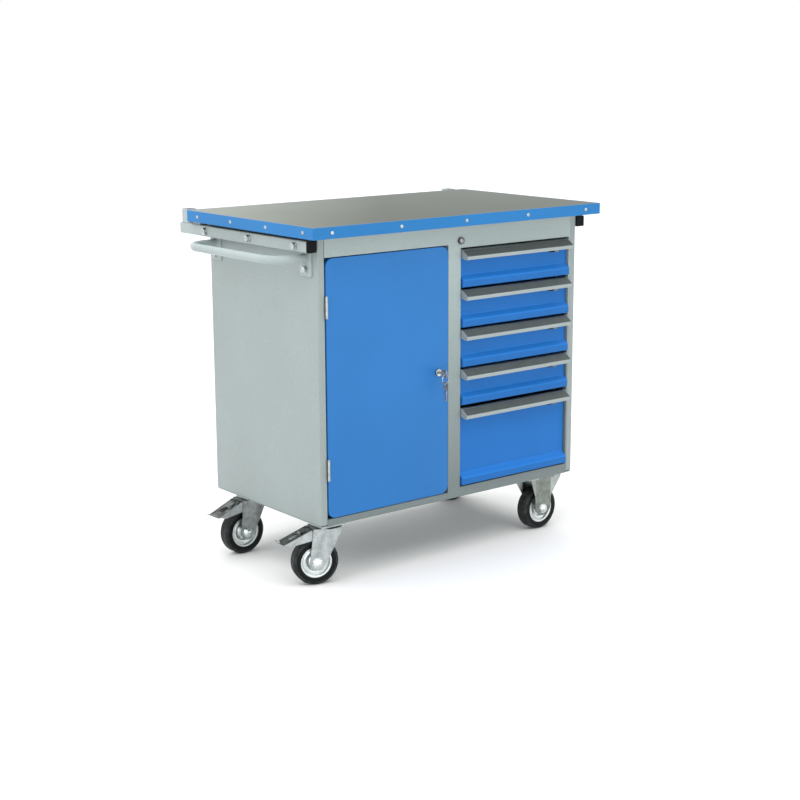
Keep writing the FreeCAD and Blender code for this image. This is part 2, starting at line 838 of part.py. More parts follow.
def make_grip(number, top):
    """Aluminium extrusion: back flange, top land, sloping face with its label strip, and a lip; end caps."""
    half = grip_wall / 2
    nose = front_face - grip_depth
    land_y = front_face - grip_land
    land_z = top - grip_land_fall
    path = [
        (front_face - half, top - grip_back_height),
        (front_face - half, top - half),
        (land_y, land_z - half),
        (nose + half, top - grip_slope),
        (nose + half, top - grip_slope - grip_lip),
    ]
    left, right = front_left + cap_width, front_right - cap_width
    extrusion = strip(path, grip_wall, 0.8, "yz", left, right)
    start, end = path[2], path[3]
    run = hypot(end[0] - start[0], end[1] - start[1])
    ty, tz = (end[0] - start[0]) / run, (end[1] - start[1]) / run
    ny, nz = tz, -ty
    label_inset = 2.5
    label_sheet = 0.6

    def on_slope(along, out):
        return (start[0] + ty * along + ny * out, start[1] + tz * along + nz * out)

    label = profile(
        [
            on_slope(label_inset, half),
            on_slope(run - label_inset, half),
            on_slope(run - label_inset, half + label_sheet),
            on_slope(label_inset, half + label_sheet),
        ],
        "yz",
        left,
        right,
    )
    cap_rise = 0.5  # caps stand this far outside the extrusion
    cap_foot = 4.6
    lip_end = top - grip_slope - grip_lip
    cap_outline = [
        (front_face, top),
        (land_y, land_z + cap_rise),
        (nose - cap_rise, top - grip_slope + 1),
        (nose - cap_rise, lip_end - cap_rise),
        (nose + grip_land, lip_end - cap_rise),
        (front_face, lip_end + cap_foot),
    ]
    radii = [1.0, 3.0, 2.0, 1.0, 2.0, 0]
    caps = [
        profile(cap_outline, "yz", front_left, left, radii),
        profile(cap_outline, "yz", right, front_right, radii),
    ]
    save("grip_%d" % number, [extrusion, label] + caps)


catch_inset = 69.0  # catch's middle from the opening's right edge
catch_middle = opening_right - catch_inset
catch_width = 33.0
catch_axis_y = -9.0
catch_axis_drop = 16.0  # below the drawer front's top
catch_pin = 1.5


def make_catch(number, top):
    """Finger lever under the grip: a dark paddle with a light nub, on a pin under the sloping face."""
    z = top - catch_axis_drop
    foot_reach = 6.0  # below the grip's lip
    foot = top - grip_slope - grip_lip - foot_reach
    x0, x1 = catch_middle - catch_width / 2, catch_middle + catch_width / 2
    paddle_thick = 3.0
    y0, y1 = catch_axis_y - paddle_thick / 2, catch_axis_y + paddle_thick / 2
    paddle = profile(rectangle(x0, x1, foot, z + 2.0), "xz", y0, y1, 1.2)
    eye = rod((x0, catch_axis_y, z), (1, 0, 0), 3.2, catch_width)
    bore = rod((x0 - 1, catch_axis_y, z), (1, 0, 0), catch_pin + 0.15, catch_width + 2)
    nub_width = 14.0
    nub = profile(rectangle(x1 - nub_width, x1, foot - 1.0, foot + 9.0), "xz", y0 - 2.5, y0, 1.0)
    save("catch_%d" % number, [cut(fuse(paddle, eye), bore), nub])


def catch_pins(top):
    """Pin and its two ears, fixed to the drawer front under the grip."""
    z = top - catch_axis_drop
    ear, play = 1.6, 0.3
    solids = []
    x0, x1 = catch_middle - catch_width / 2 - play, catch_middle + catch_width / 2 + play
    for a, b in ((x0 - ear, x0), (x1, x1 + ear)):
        outline = [
            (front_face - grip_wall, z + 4),
            (catch_axis_y - 3.2, z + 1.0),
            (catch_axis_y - 3.2, z - 3.2),
            (catch_axis_y + 4, z - 3.6),
            (front_face - grip_wall, z - 8),
        ]
        solids.append(profile(outline, "yz", a, b, [0, 1.0, 2.0, 2.0, 0]))
    pin = rod((x0 - ear, catch_axis_y, z), (1, 0, 0), catch_pin, x1 - x0 + 2 * ear)
    return fuse(pin, *solids)


def make_drawer_box(number, top, low):
    """Open tray with hemmed rims, a slide bar each side, the catch's pin and the lug the lock bar holds."""
    floor, rim = low + 6.0, top - 26.0
    outer = block(box_left, box_right, box_front, box_back, floor, rim)
    inner = block(
        box_left + box_wall, box_right - box_wall, box_front + box_wall, box_back - box_wall,
        floor + box_wall, rim + 1,
    )
    tray = outer.cut(inner)
    hem, hem_tall = 2.5, 5.0
    inner_x = box_left + box_wall
    hems = [
        block(inner_x, inner_x + hem, box_front, box_back, rim - hem_tall, rim),
        block(box_right - box_wall - hem, box_right - box_wall, box_front, box_back, rim - hem_tall, rim),
        block(box_left, box_right, box_back - box_wall - hem, box_back - box_wall, rim - hem_tall, rim),
    ]
    tray = fuse(tray, *hems)
    z = low + runner_rise + runner_wall + slide_play
    height = runner_height - 2 * (runner_wall + slide_play)
    slide_left = partition_right + runner_wall + 2.0
    slide_start, slide_end = runner_front + 4.0, box_back - 2.0
    groove = 3.0
    outline = [
        (slide_left, z),
        (box_left, z),
        (box_left, z + height),
        (slide_left, z + height),
        (slide_left, z + height - 4),
        (slide_left + groove, z + height - 5.5),
        (slide_left + groove, z + 5.5),
        (slide_left, z + 4),
    ]
    slide = profile(outline, "xz", slide_start, slide_end)
    lug = block(
        opening_left + 4, box_left, lock_slot[1] + 2.0, lock_slot[1] + 5.0,
        top - hook_below_top + hook_height + 2.0, top - hook_below_top + hook_height + 10.0,
    )
    save(
        "drawer_box_%d" % number,
        [tray, slide, mirror_x(slide, drawer_middle), lug, catch_pins(top)],
    )


def make_drawers():
    for number, (top, low) in enumerate(drawer_levels(), start=1):
        make_drawer_front(number, top, low)
        make_drawer_box(number, top, low)
        make_grip(number, top)
        make_catch(number, top)


# ---------------------------------------------------------------- central lock
lock_x = opening_left - 1.0
top_lock_drop = 45.0
top_lock_height = cabinet_height - top_lock_drop
lock_body_radius = 8.0
lock_flange_radius = 10.0
lock_flange = 6.0
plug_radius = 5.5
plug_play = 0.1
cam_arm = 9.0
cam_pin_radius = 1.5
cam_angle = radians(45)  # the locked cam points down and to the left
pin_x = lock_x - cam_arm * cos(cam_angle)
pin_z = top_lock_height - cam_arm * sin(cam_angle)
bar_sheet = 3.0
bar_front = 14.0
bar_back = 22.0
bar_offset = 9.0  # bar's left face beside the cam's pin


def lock_housing(x, front, z, length):
    """Threaded barrel with a rounded collar, bored for the plug."""
    round_off = 1.5
    outline = [
        (0, 0),
        (lock_flange_radius, 0),
        (lock_flange_radius, lock_flange - round_off),
        (lock_flange_radius - 0.3 * round_off, lock_flange - 0.3 * round_off),
        (lock_flange_radius - round_off, lock_flange),
        (0, lock_flange),
    ]
    collar = revolve(outline, (x, front, z), (0, -1, 0), (1, 0, 0))
    barrel = rod((x, front, z), (0, 1, 0), lock_body_radius, length)
    bore = rod((x, front - lock_flange - 1, z), (0, 1, 0), plug_radius + plug_play, length + lock_flange + 2)
    return fuse(collar, barrel).cut(bore)


def lock_plug(x, front, z, length, key_turn):
    """Rotating plug with its key slot, flush with a shallow recess in the collar."""
    recess = 0.6
    plug = rod((x, front - lock_flange + recess, z), (0, 1, 0), plug_radius, length + lock_flange - recess)
    slot = block(x - 0.9, x + 0.9, front - lock_flange - 1, front + 14, z - 4.2, z + 4.2)
    slot.rotate(V(x, 0, z), V(0, 1, 0), key_turn)
    return plug.cut(slot)


def make_top_lock():
    barrel = 10.0
    housing = lock_housing(lock_x, 0, top_lock_height, barrel)
    save("top_lock_housing", [housing])
    plug = lock_plug(lock_x, 0, top_lock_height, barrel, 0)
    arm_y = barrel
    cam_sheet = 2.0
    hub = rod((lock_x, arm_y, top_lock_height), (0, 1, 0), 6.5, cam_sheet)
    tip = rod((pin_x, arm_y, pin_z), (0, 1, 0), 3.5, cam_sheet)
    nx, nz = sin(cam_angle), -cos(cam_angle)
    link = profile(
        [
            (lock_x + nx * 5, top_lock_height + nz * 5),
            (pin_x + nx * 3.5, pin_z + nz * 3.5),
            (pin_x - nx * 3.5, pin_z - nz * 3.5),
            (lock_x - nx * 5, top_lock_height - nz * 5),
        ],
        "xz",
        arm_y,
        arm_y + cam_sheet,
    )
    pin = rod((pin_x, arm_y, pin_z), (0, 1, 0), cam_pin_radius, bar_front - arm_y + bar_sheet + 2)
    save("top_lock_plug", [fuse(plug, hub, tip, link, pin)])


def make_lock_bar():
    """Upright bar in the middle stile; its head is lifted by the cam's pin, its hooks stop the drawers."""
    slot_play = 0.5
    shaft_x0 = pin_x - bar_offset
    shaft_x1 = shaft_x0 + bar_sheet
    levels = drawer_levels()
    lowest = levels[-1][0] - hook_below_top - 30.0
    shaft = block(shaft_x0, shaft_x1, bar_front, bar_back, lowest, pin_z + 5.0)
    head = block(shaft_x0, pin_x + 5.0, bar_front, bar_front + bar_sheet, pin_z - 5.0, pin_z + 5.0)
    reach = cam_arm * (1 - cos(cam_angle))
    half_slot = cam_pin_radius + slot_play
    slot = profile(
        rectangle(pin_x - reach - half_slot, pin_x + half_slot, pin_z - half_slot, pin_z + half_slot),
        "xz",
        bar_front - 1,
        bar_front + bar_sheet + 1,
        half_slot - 0.05,
    )
    hooks = [
        block(
            shaft_x1, opening_left + 10.0, bar_front, bar_back,
            top - hook_below_top, top - hook_below_top + hook_height,
        )
        for top, _ in levels
    ]
    save("lock_bar", [cut(fuse(shaft, head, *hooks), slot)])


def bar_guides():
    """Two loops on the partition that keep the lock bar upright."""
    shaft_x0 = pin_x - bar_offset
    shaft_x1 = shaft_x0 + bar_sheet
    play, wall, tall = 0.3, 1.5, 16.0
    solids = []
    levels = drawer_levels()
    for top in (levels[0][0], levels[3][0]):
        z = top - hook_below_top - 45.0
        outer = block(
            shaft_x0 - play - wall, partition_left, bar_front - play - wall, bar_back + play + wall, z, z + tall
        )
        hole = block(shaft_x0 - play, shaft_x1 + play, bar_front - play, bar_back + play, z - 1, z + tall + 1)
        relief = block(
            shaft_x1 + play + wall, partition_left - wall, bar_front - play - wall - 1, bar_back + play,
            z - 1, z + tall + 1,
        )
        solids.append(cut(outer, hole, relief))
    return solids


# ---------------------------------------------------------------- door
door_left = flange_width + 2.5
door_gap = 2.0
door_edge = door_right - door_gap
door_low = door_sill + door_gap
door_high = door_top - door_gap
door_front = -1.5
door_depth = 20.0
door_corner = 22.0
door_lock_inset = 38.0
door_lock_x = door_right - door_lock_inset
door_lock_rise = 1.75  # above the door's middle
door_lock_height = (door_sill + door_top) / 2 + door_lock_rise
hinge_axis_x = flange_width + 1.25
hinge_axis_y = -5.5
knuckle_radius = 3.6
pin_radius = 1.8
hinge_leaf = 1.1
hinge_length = 55.0
hinge_low = 106.5  # lower hinge's foot above the sill
hinge_high = 154.0  # upper hinge's foot below the door opening's top
hinge_heights = [door_sill + hinge_low, door_top - hinge_high]
knuckle_play = 0.3


def make_door_panel():
    """Pan with rounded corners, a folded rim and a hat-section stiffener."""
    sheet = light_sheet
    back = door_front + door_depth
    body = profile(
        rectangle(door_left, door_edge, door_low, door_high), "xz", door_front, back, door_corner
    )
    front_edges = [e for e in body.Edges if abs(e.BoundBox.YMax - door_front) < 1e-6]
    body = body.makeFillet(1.0, front_edges)
    hollow = profile(
        rectangle(door_left + sheet, door_edge - sheet, door_low + sheet, door_high - sheet),
        "xz", door_front + sheet, back, door_corner - sheet,
    )
    rim = 9.0
    rim_plate = profile(
        rectangle(door_left + sheet / 2, door_edge - sheet / 2, door_low + sheet / 2, door_high - sheet / 2),
        "xz", back - sheet, back, door_corner - sheet / 2,
    )
    rim_hole = profile(
        rectangle(door_left + rim, door_edge - rim, door_low + rim, door_high - rim),
        "xz", back - sheet - 1, back + 1, door_corner - rim,
    )
    panel = fuse(body.cut(hollow), rim_plate.cut(rim_hole))
    middle = (door_left + door_edge) / 2
    floor = door_front + sheet
    hat = [
        (middle - 42, floor + 0.5),
        (middle - 24, floor + 0.5),
        (middle - 18, back - 4),
        (middle + 18, back - 4),
        (middle + 24, floor + 0.5),
        (middle + 42, floor + 0.5),
    ]
    stiffener = strip(hat, 1.0, 1.0, "xy", door_low + 30, door_high - 30)
    lock_hole = rod(
        (door_lock_x, door_front - 1, door_lock_height), (0, 1, 0), lock_body_radius + plug_play, sheet + 2
    )
    save("door_panel", [panel.cut(lock_hole), stiffener])


def knuckle(z0, z1, leaf_x0, leaf_x1):
    """A rolled barrel and the leaf that runs back from it into the door's gap."""
    leaf_back = 15.0
    barrel = rod((hinge_axis_x, hinge_axis_y, z0), (0, 0, 1), knuckle_radius, z1 - z0)
    leaf = block(leaf_x0, leaf_x1, hinge_axis_y, leaf_back, z0, z1)
    bore = rod((hinge_axis_x, hinge_axis_y, z0 - 1), (0, 0, 1), pin_radius + 0.05, z1 - z0 + 2)
    return cut(fuse(barrel, leaf), bore)


def make_hinges():
    third = hinge_length / 3
    frame_leaves, door_leaves = [], []
    for z in hinge_heights:
        low = knuckle(z, z + third - knuckle_play, flange_width, flange_width + hinge_leaf)
        high = knuckle(z + 2 * third + knuckle_play, z + hinge_length, flange_width, flange_width + hinge_leaf)
        strap = block(flange_width, flange_width + hinge_leaf, 2.0, 15.0, z, z + hinge_length)
        pin = rod((hinge_axis_x, hinge_axis_y, z - 1.5), (0, 0, 1), pin_radius, hinge_length + 3)
        heads = [
            rod((hinge_axis_x, hinge_axis_y, end), (0, 0, 1), 2.8, 1.5) for end in (z - 1.5, z + hinge_length)
        ]
        frame_leaves += [fuse(low, high, strap), fuse(pin, *heads)]
        middle = knuckle(z + third, z + 2 * third, door_left - hinge_leaf, door_left)
        door_strap = block(door_left - hinge_leaf, door_left, 2.0, 15.0, z + 2, z + hinge_length - 2)
        door_leaves.append(fuse(middle, door_strap))
    save("hinge_frame_leaves", frame_leaves)
    save("hinge_door_leaves", door_leaves)


def make_door_lock():
    barrel = 27.5
    x, z = door_lock_x, door_lock_height
    housing = lock_housing(x, door_front, z, barrel)
    nut_face = door_front + light_sheet
    radius = 22.0 / sqrt(3)
    corners = [V(x + radius * cos(k * pi / 3), nut_face, z + radius * sin(k * pi / 3)) for k in range(6)]
    nut = Part.Face(Part.makePolygon(corners + corners[:1])).extrude(V(0, 5, 0))
    nut = nut.cut(rod((x, nut_face - 1, z), (0, 1, 0), lock_body_radius, 7))
    save("door_lock_housing", [housing, nut])
    plug = lock_plug(x, door_front, z, barrel, 0)
    cam_y = door_front + barrel
    cam_length, cam_wide, cam_sheet = 46.0, 16.0, 3.0
    cam = profile(
        rectangle(x - cam_wide / 2, x + cam_wide / 2, z - cam_length, z + cam_wide / 2),
        "xz", cam_y + 0.3, cam_y + 0.3 + cam_sheet, 5.0,
    )
    stem = rod((x, cam_y - 1, z), (0, 1, 0), plug_radius, cam_sheet + 3)
    save("door_lock_plug", [fuse(plug, stem, cam), door_key()])


key_sheet = 1.6
key_bow_width = 23.0
key_bow_height = 22.0
key_hole = 2.6
ring_wire = 0.8
ring_radius = 11.5
key_reach = 38.0
key_hole_inset = 5.0
ring_play = 0.1


def key_shape(x, tip_y, bow_y, z):
    """A flat key in the plane across X: blade from tip_y to the bow that ends at bow_y."""
    way = 1 if tip_y > bow_y else -1
    bow = profile(
        rectangle(
            min(bow_y, bow_y + way * key_bow_width), max(bow_y, bow_y + way * key_bow_width),
            z - key_bow_height / 2, z + key_bow_height / 2,
        ),
        "yz", x - key_sheet / 2, x + key_sheet / 2, 5.0,
    )
    blade = block(
        x - key_sheet / 2, x + key_sheet / 2, min(tip_y, bow_y + way * key_bow_width),
        max(tip_y, bow_y + way * key_bow_width), z - 3.6, z + 3.6,
    )
    nicks = [
        profile(
            [
                (tip_y - way * (3 + 4 * k), z - 4),
                (tip_y - way * (5 + 4 * k), z - 2.4),
                (tip_y - way * (7 + 4 * k), z - 4),
            ],
            "yz", x - key_sheet, x + key_sheet,
        )
        for k in range(3)
    ]
    return cut(fuse(bow, blade), *nicks)


def ring_hook():
    """Middle of the key ring's wire where it rests in the hole of the key in the lock."""
    rest = key_hole - ring_wire - ring_play
    return door_lock_x, door_front - key_reach + key_hole_inset, door_lock_height - rest


def door_key():
    """The key in the door lock."""
    hook_x, hook_y, hook_z = ring_hook()
    key = key_shape(door_lock_x, door_front + 12.0, door_front - key_reach, door_lock_height)
    return key.cut(rod((hook_x - 2, hook_y, door_lock_height), (1, 0, 0), key_hole, 4))


def make_key_ring():
    """Ring through the key's bow, with the spare key hanging from it."""
    hook_x, hook_y, hook_z = ring_hook()
    centre_z = hook_z - ring_radius
    section = [
        (ring_radius + ring_wire * cos(k * pi / 4 + pi / 8), ring_wire * sin(k * pi / 4 + pi / 8))
        for k in range(8)
    ]
    ring = revolve(section, (hook_x, hook_y, centre_z), (0, 1, 0), (0, 0, 1))
    hole_z = centre_z - ring_radius - (key_hole - ring_wire - ring_play)
    length = 52.0
    spare = key_shape(hook_x, hook_y + length, hook_y, hole_z)
    spare.rotate(V(hook_x, hook_y, hole_z), V(1, 0, 0), -90)
    spare.translate(V(0, 0, key_hole_inset))
    hole = rod((hook_x - 2, hook_y, hole_z), (1, 0, 0), key_hole, 4)
    save("key_ring", [ring, spare.cut(hole)])


# ---------------------------------------------------------------- casters
wheel_radius = wheel_diameter / 2
axle_drop = caster_height - wheel_radius  # below the caster's mounting face
swivel_plate_half = (38.0, 30.0)
fixed_plate_half = (60.0, 42.5)
caster_plate = 4.0
swivel_bolts = (26.0, 21.0)
fixed_bolts = (47.0, 20.0)
caster_bolt_radius = 4.0
caster_bolt_across = 13.0
caster_bolt_head = 4.0
caster_washer_radius = 6.8
caster_washer = 1.0
leg_sheet = 2.5
leg_outer = 29.0
race_radius = 27.0
race_drop = 6.4
crown_sheet = 3.5
crown_radius = 38.0
running_gap = 0.3
kingpin_radius = 6.0
axle_radius = 5.0
past_legs = leg_outer + 12.0  # cutters reach this far each side of a wheel's middle


def four_bolts(x, y, offsets):
    return [(x + sx * offsets[0], y + sy * offsets[1]) for sx in (-1, 1) for sy in (-1, 1)]


def caster_bolt_places():
    places = []
    for y in swivel_ys:
        places += four_bolts(left_caster_x, y, swivel_bolts)
    for y in fixed_ys:
        places += four_bolts(right_caster_x, y, fixed_bolts)
    return places


def caster_bolts():
    """Swivel plates hang on low-headed studs, fixed brackets on bolts from below with round nuts."""
    solids = []
    floor = panel_sheet - base_drop
    nut_radius = 5.4
    nut_tall = 6.5
    stud_head_radius = 6.5
    stud_head = 2.0
    for y in swivel_ys:
        for bolt_x, bolt_y in four_bolts(left_caster_x, y, swivel_bolts):
            shank = rod((bolt_x, bolt_y, floor), (0, 0, -1), caster_bolt_radius, caster_plate + panel_sheet)
            head = rod((bolt_x, bolt_y, floor), (0, 0, 1), stud_head_radius, stud_head)
            solids.append(fuse(shank, head))
    seat = -base_drop - caster_plate
    length = caster_plate + panel_sheet + nut_tall + 1.5
    for y in fixed_ys:
        for bolt_x, bolt_y in four_bolts(right_caster_x, y, fixed_bolts):
            solids.append(
                hex_bolt(
                    (bolt_x, bolt_y, seat), (0, 0, 1), caster_bolt_across, caster_bolt_head,
                    caster_washer_radius, caster_washer, caster_bolt_radius, length,
                )
            )
            nut = rod((bolt_x, bolt_y, floor), (0, 0, 1), nut_radius, nut_tall)
            solids.append(nut.cut(rod((bolt_x, bolt_y, floor), (0, 0, 1), caster_bolt_radius, nut_tall)))
    return solids


def hexagon_prism(centre, radius, height):
    corners = [centre + V(radius * cos(k * pi / 3), radius * sin(k * pi / 3), 0) for k in range(6)]
    return Part.Face(Part.makePolygon(corners + corners[:1])).extrude(V(0, 0, height))


def make_swivel_plates():
    """Top plate, fixed race cup and kingpin of each swivel caster."""
    solids = []
    x, top = left_caster_x, -base_drop
    hx, hy = swivel_plate_half
    cup_height = race_drop - caster_plate
    nut_radius = 10.0
    nut_height = 5.0
    nut_play = 0.2
    pin_end = 4.5  # kingpin past its nut
    nut_top = -race_drop - crown_sheet - running_gap - nut_play
    for y in swivel_ys:
        plate = profile(rectangle(x - hx, x + hx, y - hy, y + hy), "xy", top - caster_plate, top, 6.0)
        cup = revolve(
            [
                (0, 0),
                (race_radius - 2, 0),
                (race_radius, -cup_height / 2),
                (race_radius - 2, -cup_height),
                (0, -cup_height),
            ],
            (x, y, top - caster_plate), (0, 0, 1), (1, 0, 0),
        )
        pin_length = -nut_top + nut_height + pin_end - caster_plate
        pin = rod((x, y, top - caster_plate - pin_length), (0, 0, 1), kingpin_radius, pin_length)
        nut = hexagon_prism(V(x, y, top + nut_top), nut_radius, -nut_height)
        holes = [
            rod((hole_x, hole_y, top - caster_plate - 1), (0, 0, 1), caster_bolt_radius + hole_play, caster_plate + 2)
            for hole_x, hole_y in four_bolts(x, y, swivel_bolts)
        ]
        solids.append(fuse(cut(fuse(plate, cup), *holes), pin, nut))
    save("swivel_plates", solids)


def fork_legs(path, side_outline, radii, x, y, top):
    """Two mirrored legs: a plan path bent inwards at its ends, trimmed to the side outline."""
    legs = []
    for way in (-1, 1):
        line = [(x + u, y + way * v) for u, v in path]
        wall = strip(line, leg_sheet, 3.0, "xy", top - caster_height, top)
        trim = profile(
            [(x + u, top + v) for u, v in side_outline], "xz", y + way * leg_outer - 20, y + way * leg_outer + 20, radii
        )
        legs.append(wall.common(trim))
    return legs


def make_swivel_fork(name, x, y, turn):
    """Pressed fork hanging back by the trail, its crown turning under the race cup."""
    top = -base_drop
    axle_x = -caster_trail
    mid = leg_outer - leg_sheet / 2
    path = [(axle_x - 24, mid), (axle_x + 30, mid), (36, mid - 9)]
    crown_top = -race_drop - running_gap
    crown_low = crown_top - crown_sheet
    outline = [
        (axle_x - 10, crown_top),
        (36, crown_top),
        (33, crown_top - 12),
        (axle_x + 22, -axle_drop - 4),
        (axle_x + 12, -axle_drop - 20),
        (axle_x - 12, -axle_drop - 20),
        (axle_x - 21, -axle_drop),
    ]
    radii = [2.0, 2.0, 8.0, 10.0, 11.0, 11.0, 10.0]
    legs = fork_legs(path, outline, radii, x, y, top)
    disc = rod((x, y, top + crown_low), (0, 0, 1), crown_radius, crown_sheet)
    bridge = profile(
        [
            (x + axle_x - 10, y - leg_outer + 1),
            (x + 34, y - leg_outer + 9),
            (x + 34, y + leg_outer - 9),
            (x + axle_x - 10, y + leg_outer - 1),
        ],
        "xy", top + crown_low, top + crown_top,
    )
    king_hole = rod((x, y, top + crown_low - 1), (0, 0, 1), kingpin_radius + running_gap, crown_sheet + 2)
    axle_hole = rod((x + axle_x, y - past_legs, top - axle_drop), (0, 1, 0), axle_radius + 0.1, 2 * past_legs)
    pivot_hole = rod(
        (x + pedal_pivot_x, y - past_legs, top + pedal_pivot_z), (0, 1, 0), pedal_pin + 0.1, 2 * past_legs
    )
    fork = cut(fuse(disc, bridge, *legs), king_hole, axle_hole, pivot_hole)
    axle = axle_bolt(x + axle_x, y, top - axle_drop)
    pivot = rod((x + pedal_pivot_x, y - leg_outer - 1.5, top + pedal_pivot_z), (0, 1, 0), pedal_pin, 2 * leg_outer + 3)
    save(name, [turned(solid, x, y, turn) for solid in (fork, axle, pivot)])


def axle_bolt(x, y, z):
    """Axle with a domed head in front, spacer sleeves beside the hub and a nut behind."""
    shank = rod((x, y - leg_outer, z), (0, 1, 0), axle_radius, 2 * leg_outer + 8)
    head_radius = 12.0
    head_base = 4.0
    head_dome = 4.5
    head = fuse(
        rod((x, y - leg_outer - head_base, z), (0, 1, 0), head_radius, head_base),
        dome((x, y - leg_outer - head_base, z), (0, -1, 0), head_radius - 0.6, head_dome),
    )
    radius = 17.0 / sqrt(3)
    corners = [
        V(x + radius * cos(k * pi / 3), y + leg_outer, z + radius * sin(k * pi / 3)) for k in range(6)
    ]
    nut = Part.Face(Part.makePolygon(corners + corners[:1])).extrude(V(0, 7, 0))
    return fuse(shank, head, nut)


pedal_pivot_x = -caster_trail - 5.5
pedal_pivot_z = -25.0
pedal_pin = 3.0


def make_brake_pedal(name, x, y, turn):
    """Brake pedal: a channel that tapers to a curled tip, with a tongue that meets the tyre when pressed."""
    top = -base_drop
    sheet = 2.0
    half = leg_outer - leg_sheet - 0.6
    bridge_play = 1.5
    root = -caster_trail - 10.0 - bridge_play
    tip = -pedal_reach + 22.0
    root_top = -7.5
    tip_top = -38.0
    slope = (tip_top - root_top) / (tip - root)

    def roof(u):
        return root_top + slope * (u - root)

    pivot_room = -18.5
    outer = [
        (root, roof(root)),
        (tip, roof(tip)),
        (tip, roof(tip) - 5),
        (tip + 14, roof(tip) - 9),
        (root, pedal_pivot_z - 12),
        (pedal_pivot_x + 7, pedal_pivot_z - 8),
        (pedal_pivot_x + 7, pivot_room),
        (root, pivot_room),
    ]
    radii = [3.0, 0.5, 1.0, 6.0, 6.0, 4.0, 3.0, 0]
    body = profile([(x + u, top + v) for u, v in outer], "xz", y - half, y + half, radii)
    near = pedal_pivot_x + 8
    inner = [
        (root - sheet, roof(root - sheet) - sheet),
        (tip - 2, roof(tip - 2) - sheet),
        (tip - 2, roof(tip) - 40),
        (near, roof(tip) - 40),
        (near, pivot_room + 1),
        (root - sheet, pivot_room + 1),
    ]
    hollow = profile([(x + u, top + v) for u, v in inner], "xz", y - half + sheet, y + half - sheet)
    channel = body.cut(hollow)
    curl = -pedal_reach
    lip_path = [
        (tip + 1.5, roof(tip) - sheet / 2 + 0.4),
        (tip - 8, roof(tip) - 4.0),
        (curl - 4, roof(tip) + 4.3),
    ]
    lip = strip([(x + u, top + v) for u, v in lip_path], sheet, 4.0, "xz", y - half, y + half)
    corner = 14.0
    lip_trim = [block(x + curl - 10, x + curl, y - half - 1, y + half + 1, top - caster_height, top)]
    for way in (-1, 1):
        nick = [
            (x + curl - 3, y + way * (half + 1)),
            (x + curl - 3, y + way * (half - corner)),
            (x + curl + corner, y + way * (half + 1)),
        ]
        lip_trim.append(profile(nick, "xy", top - caster_height, top))
    slot_near = tip + 34.0
    slot_far = tip + 11.0
    slot_half = 9.0
    slot = profile(
        rectangle(x + slot_far, x + slot_near, y - slot_half, y + slot_half), "xy",
        top + roof(slot_far) - 12, top + roof(slot_near) + 12, 6.0,
    )
    bead_rise = 3.0
    bead_half = 12.0
    bead_start = slot_near + 4.0
    bead_end = bead_start + 18.0
    bead_outline = [
        (bead_end, roof(bead_end) - 0.5),
        (bead_start, roof(bead_start) - 0.5),
        (bead_start + 3, roof(bead_start + 3) + bead_rise),
        (bead_end - 3, roof(bead_end - 3) + bead_rise),
    ]
    bead = profile(
        [(x + u, top + v) for u, v in bead_outline], "xz", y - bead_half, y + bead_half, [0, 0, 2.0, 2.0]
    )
    shoe_x = -62.0
    shoe_half = 14.0
    tyre_top = sqrt(wheel_radius**2 - (shoe_x + caster_trail) ** 2) - axle_drop
    shoe = block(
        x + shoe_x - 2, x + shoe_x + 2, y - shoe_half, y + shoe_half,
        top + tyre_top + shoe_gap, top + roof(shoe_x) - sheet / 2,
    )
    pin_hole = rod(
        (x + pedal_pivot_x, y - past_legs, top + pedal_pivot_z), (0, 1, 0), pedal_pin + 0.1, 2 * past_legs
    )
    pedal = cut(fuse(channel, lip, bead, shoe), slot, pin_hole, *lip_trim)
    save(name, [turned(pedal, x, y, turn)])


shoe_gap = 5.2


def wheel_section(side, x, y, z):
    """Turn one half of a wheel section, given as (radius, distance) pairs, and its mirror image."""
    return revolve(side + [(r, -d) for r, d in reversed(side)], (x, y, z), (0, 1, 0), (1, 0, 0))


def make_wheel(place, x, y, turn, turn_x):
    """Dished steel rim on its bush, and the rubber tyre around it."""
    z = -base_drop - axle_drop
    half = wheel_width / 2
    rim_radius = 42.5
    seat_half = 15.0
    hub_half = leg_outer - leg_sheet - 0.4
    bush_radius = 8.0
    bush = rod((x, y - hub_half, z), (0, 1, 0), bush_radius, 2 * hub_half)
    bush = bush.cut(rod((x, y - hub_half - 1, z), (0, 1, 0), axle_radius + 0.05, 2 * hub_half + 2))
    rim = wheel_section(
        [
            (bush_radius, hub_half - 1.0),
            (12.0, hub_half - 1.0),
            (14.0, 9.0),
            (18.0, 7.0),
            (22.0, 7.5),
            (26.0, 12.5),
            (30.0, 13.0),
            (35.5, 11.5),
            (38.0, half - 1.5),
            (39.0, half - 1.0),
            (rim_radius, half - 1.0),
            (rim_radius, seat_half),
            (rim_radius - 1.5, seat_half - 1),
        ],
        x, y, z,
    )
    tread = wheel_radius
    tyre = wheel_section(
        [
            (tread, half - 7.0),
            (tread - 1.2, half - 3.2),
            (tread - 4.0, half - 0.8),
            (tread - 8.0, half),
            (rim_radius + 3.0, half),
            (rim_radius, half - 1.0),
            (rim_radius, seat_half),
            (rim_radius - 1.5, seat_half - 1),
        ],
        x, y, z,
    )
    save("rim_" + place, [turned(solid, turn_x, y, turn) for solid in (rim, bush)])
    save("tyre_" + place, [turned(tyre, turn_x, y, turn)])


